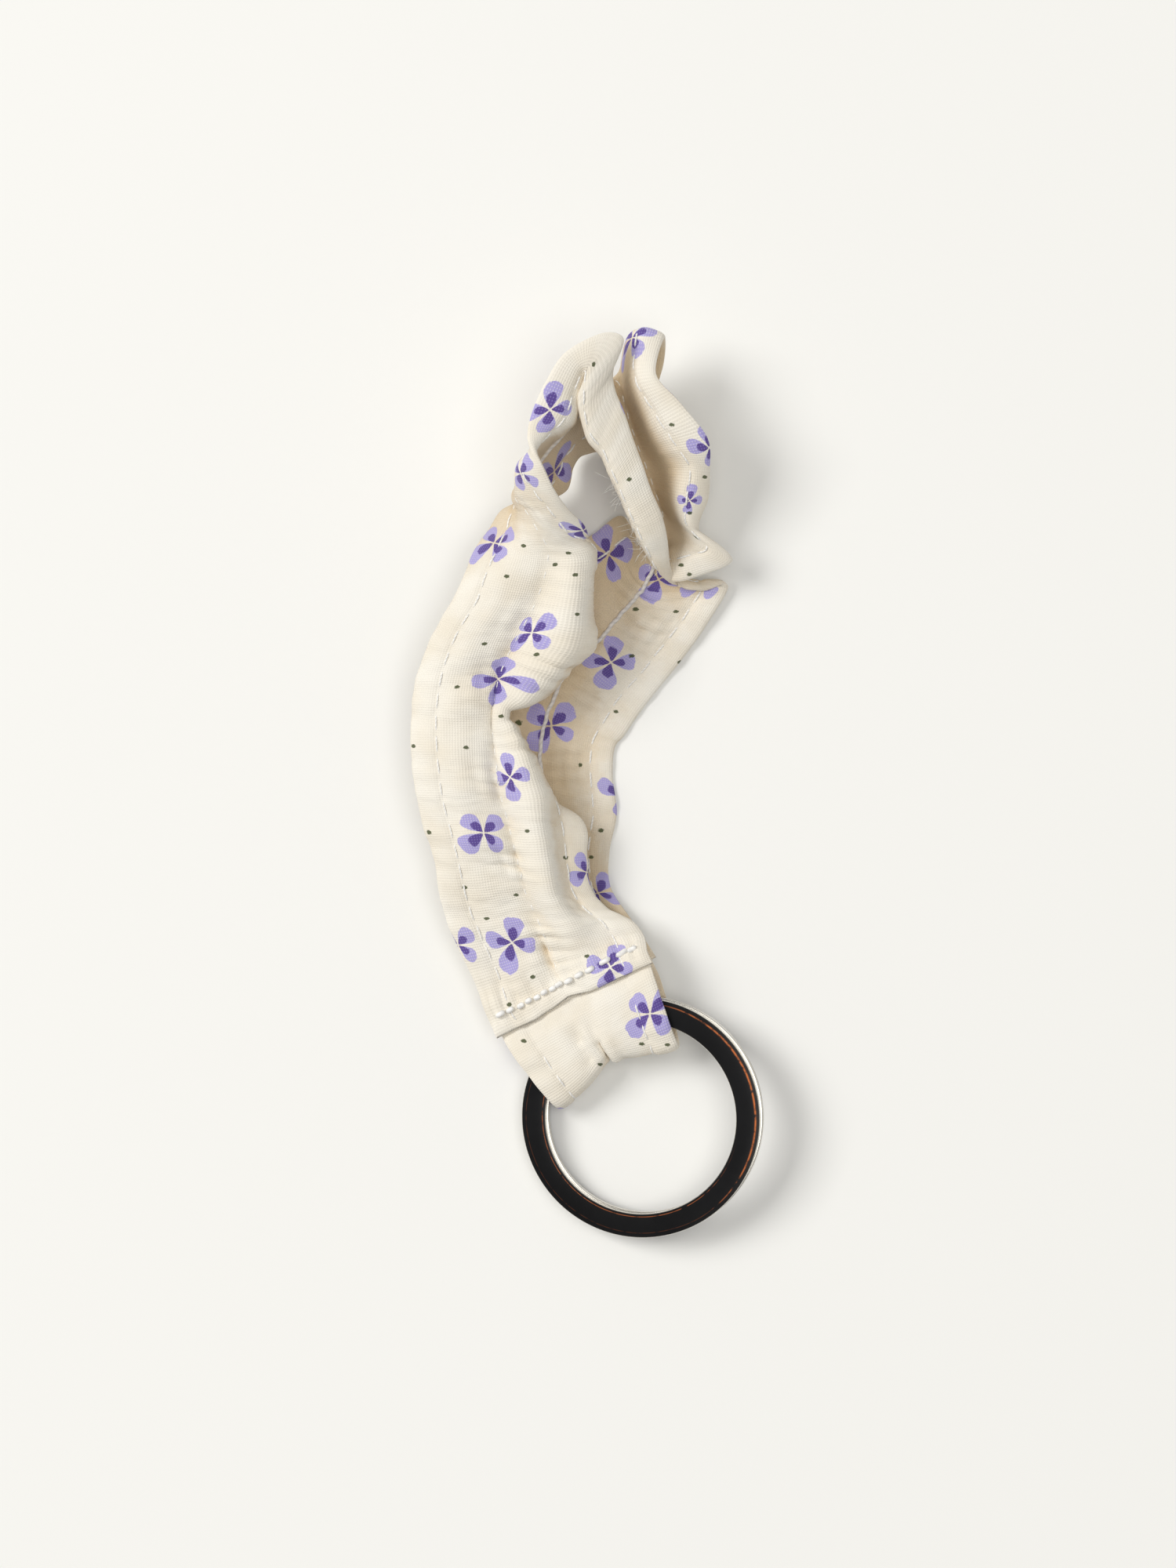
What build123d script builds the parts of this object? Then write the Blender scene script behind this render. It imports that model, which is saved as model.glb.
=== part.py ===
from build123d import *
import math
import os

os.makedirs("parts", exist_ok=True)

# ---------------------------------------------------------------------------
# Driving dimensions, in millimetres and degrees. +X is across the wrist loop,
# +Y runs from the key ring to the top of the loop, +Z is up from the table.
# ---------------------------------------------------------------------------
HEM = 3.4                  # edge of the band to its topstitch
HALF_WIDTH = 11.0          # centre line of the band to its edge
PLY = 0.35                 # one layer of cotton
PLY_GAP = 0.02             # each layer's distance from the middle of the band
OUTER_FACE = PLY_GAP + PLY
TABLE = OUTER_FACE         # height of the band's middle where it lies flat

RING_OUTER = 15.0          # radii of the flat split ring
RING_INNER = 12.0
RING_TURN = 1.08           # thickness of one turn of its wire
RING_SPLIT = 0.04          # gap between the two turns
RING_STEP = 40.0           # angle in which the wire steps from turn to turn
RING_START = 70.0          # where the step begins, inside the tab
RING_CENTRE = (6.7, -41.5, 4.25)
RING_TILT = 10.0           # the ring leans up towards this side
RING_TILT_SIDE = 20.0

SEAM_FROM_RING = 16.9      # ring centre to the line where the tab flexes
SEAM_HEADING = 29.0        # direction of that line, seen from above
TAB_LENGTH = 11.4
TAB_POCKET = 1.4           # half the gap between the tab's two legs
TAB_LEFT = (10.4, 7.8)     # half widths at the seam and at the fold
TAB_RIGHT = (10.4, 8.7)
TAB_SHOULDER = 1.5         # where the legs reach their full spread
KNUCKLE = 0.8              # radius of the rolled edge in the flex line
SEAM_GAP = 1.15            # flex line to the end of the wrist band
SEAM_SPREAD = 0.82         # flex plane to each leg's middle at the seam
SEAM_DEPTH = 2.6           # depth of the folded hem held in the seam

STITCH_PITCH = 2.9
STITCH_LENGTH = 2.2
STITCH_WIDTH = 0.3
STITCH_HEIGHT = 0.16
STITCH_SUNK = 0.05
GATHER_PITCH = 2.3
GATHER_LENGTH = 1.5
CLOSING_COUNT = 8
CLOSING_LENGTH = 1.9
CLOSING_WIDTH = 0.5
ELASTIC = 0.5              # diameter of the gathering elastic

ORIGIN = (0.24, 0.67, 0)   # moves the middle of the object's footprint to the origin

# ---------------------------------------------------------------------------
# The band's middle surface, from the closing seam round the loop and back.
# Each row crosses the band: left edge, left topstitch, centre, right
# topstitch, right edge. None puts a topstitch on the straight line between.
# ---------------------------------------------------------------------------
FRONT_LEG = [
    ((-13.9, -25.3, 3.6), None, (-4.2, -22.0, 5.2), None, (7.0, -18.9, 5.8)),
    ((-16.0, -20.8, 4.4), None, (-5.4, -18.7, 6.2), None, (5.2, -16.8, 5.0)),
    ((-17.5, -17.3, 5.0), None, (-6.6, -16.1, 6.6), None, (2.6, -15.6, 4.4)),
    ((-18.4, -14.2, 5.6), None, (-7.7, -13.6, 7.4), None, (0.6, -13.4, 4.4)),
    ((-19.1, -9.5, 6.0), (-16.0, -9.6, 7.4), (-8.6, -9.7, 8.2), None, (-0.1, -9.5, 4.4)),
    ((-20.5, -5.2, 6.5), (-17.1, -5.2, 7.9), (-9.6, -5.1, 8.8), None, (-0.6, -4.7, 4.5)),
    ((-21.3, -1.5, 6.8), (-18.0, -1.6, 8.2), (-10.4, -1.9, 9.2), None, (-4.2, -1.6, 3.6)),
    ((-21.8, 1.6, 7.0), (-18.4, 1.5, 8.5), (-10.9, 1.2, 9.4), None, (-5.8, 1.8, 3.2)),
    ((-22.0, 5.2, 7.0), (-18.7, 5.1, 8.6), (-11.2, 4.9, 9.4), None, (-8.3, 5.6, 3.2)),
    ((-21.9, 9.2, 7.0), (-18.7, 9.0, 8.6), (-11.4, 8.8, 9.4), (-10.4, 9.0, 5.6), (-10.2, 9.2, 3.4)),
    ((-21.4, 12.9, 7.2), (-18.2, 12.8, 8.9), (-10.9, 12.2, 9.6), None, (-5.2, 10.9, 3.8)),
    ((-20.0, 16.9, 7.6), (-17.1, 16.4, 9.3), (-9.8, 15.4, 10.0), None, (-1.8, 14.8, 4.8)),
    ((-18.4, 20.2, 8.0), (-15.7, 19.4, 9.6), (-8.3, 18.5, 10.4), None, (1.0, 17.4, 5.6)),
    ((-16.6, 23.2, 8.2), (-13.7, 22.6, 9.8), (-6.6, 21.7, 10.8), None, (0.7, 21.6, 6.2)),
    ((-15.2, 26.3, 8.0), (-12.5, 26.0, 9.9), (-5.5, 24.8, 11.2), None, (0.7, 25.3, 7.0)),
    ((-14.1, 29.0, 7.2), (-11.2, 28.9, 9.3), (-4.9, 28.2, 11.6), None, (1.1, 29.0, 8.4)),
    ((-12.3, 31.6, 5.2), (-9.2, 31.2, 7.4), (-5.8, 31.2, 12.2), None, (-0.3, 31.7, 11.6)),
]
HALF_TWIST = [
    ((-10.2, 33.6, 3.4), (-7.8, 33.4, 5.2), (-7.2, 33.8, 11.8), (-4.2, 33.6, 14.2), (-2.5, 33.9, 15.0)),
    ((-5.0, 35.0, 2.4), (-7.2, 35.4, 4.2), (-8.9, 36.0, 10.4), (-6.5, 36.3, 15.8), (-4.3, 36.4, 17.0)),
    ((-2.7, 36.7, 1.8), (-4.5, 37.6, 3.8), (-7.2, 38.7, 9.6), (-8.0, 39.3, 16.4), (-5.7, 39.4, 18.2)),
    ((-2.0, 39.3, 1.4), (-3.1, 40.6, 3.8), (-5.0, 41.8, 9.4), (-5.2, 42.8, 16.4), (-7.4, 42.4, 17.8)),
    ((-1.2, 40.8, 1.1), (-1.8, 42.4, 3.6), (-2.9, 43.9, 9.2), (-3.0, 44.9, 15.8), (-6.9, 45.6, 16.6)),
    ((0.4, 41.4, 1.0), (-0.4, 43.5, 3.4), (-1.5, 46.0, 8.8), (-2.0, 47.9, 15.2), (-5.3, 49.3, 16.2)),
]
ARCH = [
    ((2.1, 41.8, 1.0), (1.2, 45.0, 3.2), (-0.6, 48.2, 8.4), (-0.9, 50.6, 15.0), (-3.0, 52.9, 15.6)),
    ((5.6, 43.6, 1.4), (3.8, 46.0, 3.6), (1.2, 49.2, 7.8), (-0.1, 50.8, 15.2), (0.8, 55.2, 15.0)),
    ((8.6, 49.2, 5.6), (5.6, 49.8, 5.4), (2.6, 49.2, 7.0), (-0.5, 48.4, 15.4), (4.4, 54.8, 14.6)),
    ((8.8, 54.4, 11.4), (6.4, 52.0, 10.2), (3.6, 48.0, 6.6), (-0.4, 45.6, 14.8), (3.2, 51.4, 14.2)),
]
RIGHT_LEG = [
    ((8.6, 50.2, 13.4), (7.4, 47.6, 11.6), (4.4, 46.0, 6.2), (0.4, 43.0, 14.2), (3.4, 48.6, 14.0)),
    ((11.4, 46.2, 13.4), (9.4, 44.2, 11.4), (5.3, 44.0, 5.8), (1.9, 41.2, 13.6), (4.5, 45.8, 13.6)),
    ((14.6, 42.4, 12.4), (11.4, 41.4, 11.0), (6.4, 41.6, 5.3), (2.9, 38.9, 13.2), (5.5, 42.8, 13.2)),
    ((15.1, 39.0, 9.8), (12.2, 38.4, 10.4), (7.3, 39.2, 5.0), (3.9, 36.7, 12.6), (6.7, 39.6, 12.6)),
    ((14.9, 35.4, 8.0), (12.2, 35.2, 9.2), (8.2, 36.6, 4.7), (4.9, 34.4, 11.8), (7.8, 36.4, 11.8)),
    ((13.8, 31.4, 7.0), (12.2, 32.4, 8.0), (9.0, 34.2, 4.5), (6.1, 31.7, 10.8), (9.1, 33.4, 10.6)),
    ((18.0, 27.8, 5.6), (14.8, 29.4, 6.8), (9.5, 31.8, 4.4), (7.2, 29.4, 9.4), (9.9, 30.0, 8.8)),
    ((14.2, 26.0, 5.4), (13.0, 28.6, 6.2), (9.6, 29.8, 4.0), (8.3, 27.4, 7.2), (10.2, 27.4, 6.6)),
    ((10.3, 25.3, 4.6), (10.4, 28.0, 5.2), (9.2, 28.6, 3.4), (9.4, 26.2, 5.0), (11.2, 25.0, 3.6)),
]
BACK_LEG = [
    ((6.2, 30.6, 2.6), None, (8.4, 27.3, 2.6), None, (14.6, 24.2, 2.4)),
    ((4.5, 33.4, 1.6), None, (7.5, 25.6, 1.8), None, (17.4, 24.9, 1.6)),
    ((0.6, 31.2, 1.1), None, (6.2, 23.6, 1.3), None, (14.9, 20.0, 1.0)),
    ((-3.8, 28.6, 0.8), None, (3.9, 21.0, 0.9), None, (12.0, 15.9, 0.7)),
    ((-7.3, 24.4, 0.5), None, (1.2, 17.7, 0.5), None, (8.8, 11.9, 0.5)),
    ((-10.6, 21.2, TABLE), None, (-2.0, 14.9, TABLE), None, (6.4, 8.8, TABLE)),
    ((-14.0, 15.6, TABLE), None, (-4.2, 11.0, TABLE), None, (4.6, 6.1, TABLE)),
    ((-16.2, 9.4, TABLE), None, (-5.6, 7.2, TABLE), None, (3.4, 4.6, TABLE)),
    ((-16.8, 3.0, TABLE), None, (-6.0, 2.6, TABLE), None, (3.1, 0.8, TABLE)),
    ((-16.8, -2.4, TABLE), None, (-5.9, -2.2, TABLE), None, (3.6, -3.6, TABLE)),
    ((-16.4, -8.0, TABLE), None, (-5.8, -7.6, TABLE), None, (2.7, -8.4, TABLE)),
    ((-15.0, -14.6, 0.6), None, (-4.6, -13.0, 0.9), None, (2.8, -12.8, 1.0)),
    ((-13.7, -20.8, 0.8), None, (-3.2, -18.2, 1.5), None, (5.2, -16.6, 2.2)),
    ((-12.6, -26.0, 0.9), None, (-2.4, -22.2, 2.1), None, (6.8, -18.9, 3.3)),
]

# ---------------------------------------------------------------------------
# Frames of the ring and of the tab
# ---------------------------------------------------------------------------


def heading(degrees):
    """A level unit vector that points this way when seen from above."""
    return Vector(math.cos(math.radians(degrees)), math.sin(math.radians(degrees)), 0)


tilt_axis = heading(RING_TILT_SIDE)
ring_normal = Vector(0, 0, math.cos(math.radians(RING_TILT))) - tilt_axis * math.sin(math.radians(RING_TILT))


def in_ring_plane(direction):
    """The unit vector of the ring's plane that lies under a level direction."""
    rise = -direction.dot(ring_normal) / ring_normal.Z
    return Vector(direction.X, direction.Y, rise).normalized()


seam_direction = in_ring_plane(heading(SEAM_HEADING))
away_from_ring = ring_normal.cross(seam_direction)
seam_centre = Vector(*RING_CENTRE) + away_from_ring * SEAM_FROM_RING
ring_plane = Plane(origin=RING_CENTRE, x_dir=seam_direction, z_dir=ring_normal)
tab_plane = Plane(origin=seam_centre, x_dir=seam_direction, z_dir=ring_normal)


def seam_row(height):
    """The band's crossing row where a leg ends in the closing seam."""
    across = [-HALF_WIDTH, HEM - HALF_WIDTH, 0, HALF_WIDTH - HEM, HALF_WIDTH]
    return [tab_plane.from_local_coords(Vector(x, SEAM_GAP, height)) for x in across]


def full_row(row):
    """A row of five vectors, with the topstitches that the table leaves out."""
    left, left_seam, centre, right_seam, right = [point and Vector(*point) for point in row]
    share = HEM / HALF_WIDTH
    if left_seam is None:
        left_seam = left + (centre - left) * share
    if right_seam is None:
        right_seam = right + (centre - right) * share
    return [left, left_seam, centre, right_seam, right]


table_rows = FRONT_LEG + HALF_TWIST + ARCH + RIGHT_LEG + BACK_LEG
rows = [seam_row(SEAM_SPREAD)] + [full_row(row) for row in table_rows] + [seam_row(-SEAM_SPREAD)]


def outer_normal(station, rail):
    """The band's outward direction at one point of its middle surface."""
    before = rows[max(station - 1, 0)][rail]
    after = rows[min(station + 1, len(rows) - 1)][rail]
    left = rows[station][max(rail - 1, 0)]
    right = rows[station][min(rail + 1, 4)]
    if station in (0, len(rows) - 1):
        side = 1 if station == 0 else -1
        return ring_normal * side
    return (right - left).cross(after - before).normalized()


normals = [[outer_normal(station, rail) for rail in range(5)] for station in range(len(rows))]


def along_rail(rail, distance):
    """Point, outward normal and direction at a distance along one rail."""
    for station in range(len(rows) - 1):
        start = rows[station][rail]
        span = rows[station + 1][rail] - start
        if distance <= span.length:
            share = distance / span.length
            normal = normals[station][rail] * (1 - share) + normals[station + 1][rail] * share
            return start + span * share, normal.normalized(), span.normalized()
        distance -= span.length
    return None


def rail_length(rail):
    return sum((rows[i + 1][rail] - rows[i][rail]).length for i in range(len(rows) - 1))


# ---------------------------------------------------------------------------
# Wrist loop: two layers of cotton, gathered by an elastic thread
# ---------------------------------------------------------------------------


def flat_face(*corners):
    return Face(Wire.make_polygon(corners, close=True))


def skinned(sections):
    """A closed solid whose skin joins each ring of points to the next."""
    faces = []
    count = len(sections[0])
    for near, far in zip(sections, sections[1:]):
        for corner in range(count):
            following = (corner + 1) % count
            faces.append(flat_face(near[corner], near[following], far[following]))
            faces.append(flat_face(near[corner], far[following], far[corner]))
    for cap in (sections[0], sections[-1]):
        for corner in range(count // 2 - 1):
            opposite = count - 1 - corner
            faces.append(flat_face(cap[corner], cap[corner + 1], cap[opposite - 1]))
            faces.append(flat_face(cap[corner], cap[opposite - 1], cap[opposite]))
    return Solid(Shell(faces))


def band_layer(inner, outer):
    """A layer of the band between two distances from its middle surface."""
    sections = []
    for row, row_normals in zip(rows, normals):
        top = [point + normal * outer for point, normal in zip(row, row_normals)]
        bottom = [point + normal * inner for point, normal in zip(row, row_normals)]
        sections.append(top + bottom[::-1])
    return skinned(sections)


def elastic_thread():
    """The round elastic, sewn to the inner face along the centre line."""
    sides = 6
    radius = ELASTIC / 2
    sections = []
    for station in range(len(rows)):
        row, normal = rows[station], normals[station][2]
        across = (row[3] - row[1]).normalized()
        centre = row[2] - normal * (OUTER_FACE + radius)
        corners = []
        for corner in range(sides):
            angle = 2 * math.pi * corner / sides
            corners.append(centre + across * (radius * math.cos(angle)) + normal * (radius * math.sin(angle)))
        sections.append(corners)
    return skinned(sections)


def stitch(point, normal, direction, face, size):
    """One stitch lying on a face of the cloth, sunk a little into it."""
    length, width, height = size
    up = normal if face > 0 else normal * -1
    level = direction - up * direction.dot(up)
    middle = point + up * (OUTER_FACE - STITCH_SUNK + height / 2)
    return Plane(origin=middle, x_dir=level, z_dir=up) * Box(length, width, height)


def stitch_line(rail, pitch, size, faces):
    """A line of separate stitches along a rail, on the faces asked for."""
    stitches = []
    count = int(rail_length(rail) / pitch)
    for index in range(count):
        point, normal, direction = along_rail(rail, (index + 0.5) * rail_length(rail) / count)
        for face in faces:
            one = stitch(point, normal, direction, face, size)
            # The face that rests on the table has its stitches pressed level.
            if one.bounding_box().min.Z > 0:
                stitches.append(one)
    return Compound(children=stitches)


def closing_hem():
    """The end of the strip, folded and held between the two legs."""
    middle = Vector(0, SEAM_GAP + SEAM_DEPTH / 2, 0)
    height = 2 * (SEAM_SPREAD - OUTER_FACE)
    return tab_plane * Pos(*middle) * Box(2 * HALF_WIDTH - 1, SEAM_DEPTH, height)


def closing_stitches():
    """The thick hand stitches that close the strip across its width."""
    stitches = []
    share = 0.35
    for index in range(CLOSING_COUNT):
        across = (index + 0.5) / CLOSING_COUNT * 4
        rail = int(across)
        local = across - rail
        corners = [rows[s][r] for s in (0, 1) for r in (rail, rail + 1)]
        near = corners[0] * (1 - local) + corners[1] * local
        far = corners[2] * (1 - local) + corners[3] * local
        direction = corners[1] - corners[0]
        normal = direction.cross(far - near).normalized()
        size = (CLOSING_LENGTH, CLOSING_WIDTH, CLOSING_WIDTH)
        stitches.append(stitch(near * (1 - share) + far * share, normal, direction, 1, size))
    return Compound(children=stitches)


# ---------------------------------------------------------------------------
# Ring tab: the end of the strip, folded round the key ring
# ---------------------------------------------------------------------------


def tab_outline(layers):
    """Side view of the tab, this many layers out from its pocket."""
    spread = TAB_POCKET + layers * PLY
    fold = TAB_LENGTH - TAB_POCKET - 2 * PLY
    neck = -TAB_SHOULDER + (TAB_POCKET + 2 * PLY - spread) * -0.5
    with BuildSketch() as sketch:
        with BuildLine():
            if layers == 2:
                Line((0, KNUCKLE), (neck, spread))
                ThreePointArc((0, -KNUCKLE), (KNUCKLE, 0), (0, KNUCKLE))
                Line((neck, -spread), (0, -KNUCKLE))
            else:
                Line((neck, -spread), (neck, spread))
            Line((neck, spread), (-fold, spread))
            ThreePointArc((-fold, spread), (-fold - spread, 0), (-fold, -spread))
            Line((-fold, -spread), (neck, -spread))
        make_face()
    return sketch.sketch


def tab_layer(layer):
    """One layer of the tab, drawn out across it and cut to its tapered sides."""
    side_view = Plane(origin=(-HALF_WIDTH - 1, 0, 0), x_dir=(0, 1, 0), z_dir=(1, 0, 0))
    profile = tab_outline(layer + 1) - tab_outline(layer)
    drawn = extrude(side_view * profile, 2 * HALF_WIDTH + 2)
    with BuildSketch() as plan:
        with BuildLine():
            Polyline(
                (-TAB_LEFT[0], KNUCKLE + 1),
                (TAB_RIGHT[0], KNUCKLE + 1),
                (TAB_RIGHT[1], -TAB_LENGTH - 1),
                (-TAB_LEFT[1], -TAB_LENGTH - 1),
                close=True,
            )
        make_face()
    cut = drawn & extrude(plan.sketch, 2 * HALF_WIDTH, both=True)
    return tab_plane * cut.solid()


def tab_side(half_widths, depth):
    """Half width of the tab at a depth below the flex line."""
    return half_widths[0] + (half_widths[1] - half_widths[0]) * depth / TAB_LENGTH


def tab_topstitch(sign, half_widths):
    """Topstitching of one side of the tab, on both of its legs."""
    stitches = []
    first_depth = TAB_SHOULDER + STITCH_LENGTH / 2 + 0.3
    height = TAB_POCKET + 2 * PLY - STITCH_SUNK + STITCH_HEIGHT / 2
    for index in range(3):
        depth = first_depth + index * STITCH_PITCH
        across = sign * (tab_side(half_widths, depth) - HEM)
        for face in (-1, 1):
            place = tab_plane * Pos(across, -depth, face * height)
            stitches.append(place * Box(STITCH_WIDTH, STITCH_LENGTH, STITCH_HEIGHT))
    return Compound(children=stitches)


# ---------------------------------------------------------------------------
# Split ring: one flat wire in two turns, with a step between them
# ---------------------------------------------------------------------------


def ring_turn(height):
    """One flat turn of the wire, without the step."""
    flat = 360 - RING_STEP
    section = Plane.XZ * Pos((RING_INNER + RING_OUTER) / 2, height)
    face = section * Rectangle(RING_OUTER - RING_INNER, RING_TURN)
    return Rot(0, 0, RING_START + RING_STEP) * revolve(face, Axis.Z, flat)


def ring_step(low, high):
    """The short ramp that joins the end of one turn to the start of the next."""
    sections = []
    spans = 8
    for index in range(spans + 1):
        share = index / spans
        outward = heading(RING_START + RING_STEP * share)
        middle = outward * ((RING_INNER + RING_OUTER) / 2) + Vector(0, 0, low + (high - low) * share)
        section = Plane(origin=middle, x_dir=outward, z_dir=Vector(0, 0, 1).cross(outward))
        sections.append((section * Rectangle(RING_OUTER - RING_INNER, RING_TURN)).wire())
    return Solid.make_loft(sections, ruled=True)


def split_ring():
    """The whole wire: lower turn, step, upper turn."""
    level = (RING_TURN + RING_SPLIT) / 2
    wire = ring_turn(-level) + ring_turn(level) + ring_step(-level, level)
    return ring_plane * wire


# ---------------------------------------------------------------------------
# Every piece, in its own file
# ---------------------------------------------------------------------------
topstitch_size = (STITCH_LENGTH, STITCH_WIDTH, STITCH_HEIGHT)
gather_size = (GATHER_LENGTH, STITCH_WIDTH, STITCH_HEIGHT)

pieces = {
    "outer_ply": band_layer(PLY_GAP, OUTER_FACE),
    "inner_ply": band_layer(-OUTER_FACE, -PLY_GAP),
    "gathering_elastic": elastic_thread(),
    "left_topstitch": stitch_line(1, STITCH_PITCH, topstitch_size, (-1, 1)),
    "right_topstitch": stitch_line(3, STITCH_PITCH, topstitch_size, (-1, 1)),
    "centre_stitching": stitch_line(2, GATHER_PITCH, gather_size, (1,)),
    "closing_hem": closing_hem(),
    "closing_stitches": closing_stitches(),
    "tab_outer_ply": tab_layer(1),
    "tab_inner_ply": tab_layer(0),
    "tab_left_topstitch": tab_topstitch(-1, TAB_LEFT),
    "tab_right_topstitch": tab_topstitch(1, TAB_RIGHT),
    "split_ring": split_ring(),
}

for name, shape in pieces.items():
    export_step(Pos(*ORIGIN) * shape, f"parts/{name}.step")

whole = Compound(children=list(pieces.values())).bounding_box()
print("footprint", whole.min, whole.max, "ring volume", pieces["split_ring"].volume)
print("edge, topstitch, centre, topstitch, edge lengths:", [round(rail_length(rail), 1) for rail in range(5)])
print("seam centre", seam_centre, "seam direction", seam_direction, "ring normal", ring_normal)
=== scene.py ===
"""Looks of a fabric wristlet keychain: a gathered cotton loop, its tab and its split ring.

Lengths in the classes are millimetres in the drawing frame of the CAD part, whose
middle is moved to the row's origin by ORIGIN. Meshes are built in metres.
"""

import logging
import math
from dataclasses import dataclass, field
from enum import Enum
from typing import Any, Sequence

import bpy
import numpy as np
from mathutils import Matrix, Vector

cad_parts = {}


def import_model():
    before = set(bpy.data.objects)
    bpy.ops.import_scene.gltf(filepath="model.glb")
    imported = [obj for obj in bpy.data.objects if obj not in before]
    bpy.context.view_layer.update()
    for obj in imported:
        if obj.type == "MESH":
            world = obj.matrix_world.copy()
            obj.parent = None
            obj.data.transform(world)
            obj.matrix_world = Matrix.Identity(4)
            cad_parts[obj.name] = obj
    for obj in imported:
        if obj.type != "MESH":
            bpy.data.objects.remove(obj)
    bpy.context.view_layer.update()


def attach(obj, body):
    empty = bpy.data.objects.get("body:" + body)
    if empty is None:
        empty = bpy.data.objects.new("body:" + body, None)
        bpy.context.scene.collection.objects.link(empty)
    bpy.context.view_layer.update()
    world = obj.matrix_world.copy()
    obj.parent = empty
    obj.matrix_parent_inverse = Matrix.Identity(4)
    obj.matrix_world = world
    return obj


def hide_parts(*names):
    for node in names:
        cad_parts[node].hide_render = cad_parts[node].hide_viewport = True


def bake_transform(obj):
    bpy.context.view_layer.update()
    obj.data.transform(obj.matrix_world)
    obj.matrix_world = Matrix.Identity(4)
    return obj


log = logging.getLogger("wristlet")

MM = 0.001
ORIGIN = np.array([0.24, 0.67, 0.0])
Array = np.ndarray
Row = Sequence[Sequence[float] | None]


# ---------------------------------------------------------------------------
# Shader writing
# ---------------------------------------------------------------------------


class Shade:
    """A socket of a node tree that takes part in Python arithmetic."""

    def __init__(self, tree: "Finish", socket: Any) -> None:
        """Keeps the socket and the tree it belongs to."""
        self.tree = tree
        self.socket = socket

    def _maths(self, operation: str, *values: "Shade | float") -> "Shade":
        """Adds one Math node.

        Args:
            operation: Blender's name of the operation.
            values: the operands, as sockets or numbers.

        Returns:
            The node's result.
        """
        return self.tree.node("ShaderNodeMath", {"operation": operation}, dict(enumerate(values)))

    def __add__(self, other: "Shade | float") -> "Shade":
        """Sum."""
        return self._maths("ADD", self, other)

    __radd__ = __add__

    def __sub__(self, other: "Shade | float") -> "Shade":
        """Difference."""
        return self._maths("SUBTRACT", self, other)

    def __rsub__(self, other: float) -> "Shade":
        """Difference from a number."""
        return self._maths("SUBTRACT", other, self)

    def __mul__(self, other: "Shade | float") -> "Shade":
        """Product."""
        return self._maths("MULTIPLY", self, other)

    __rmul__ = __mul__

    def __truediv__(self, other: "Shade | float") -> "Shade":
        """Quotient."""
        return self._maths("DIVIDE", self, other)

    def __pow__(self, other: float) -> "Shade":
        """Power."""
        return self._maths("POWER", self, other)

    def most(self, other: "Shade | float") -> "Shade":
        """Larger of two values."""
        return self._maths("MAXIMUM", self, other)

    def root(self) -> "Shade":
        """Square root."""
        return self._maths("SQRT", self, 0.0)

    def sine(self) -> "Shade":
        """Sine of an angle in radians."""
        return self._maths("SINE", self, 0.0)

    def size(self) -> "Shade":
        """Value without its sign."""
        return self._maths("ABSOLUTE", self, 0.0)

    def ramp(self, low: float, high: "float | Shade") -> "Shade":
        """A smooth step from 0 at low to 1 at high."""
        settings = {"interpolation_type": "SMOOTHSTEP"}
        inputs = {0: self, 1: low, 2: high, 3: 0.0, 4: 1.0}
        return self.tree.node("ShaderNodeMapRange", settings, inputs)


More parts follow.
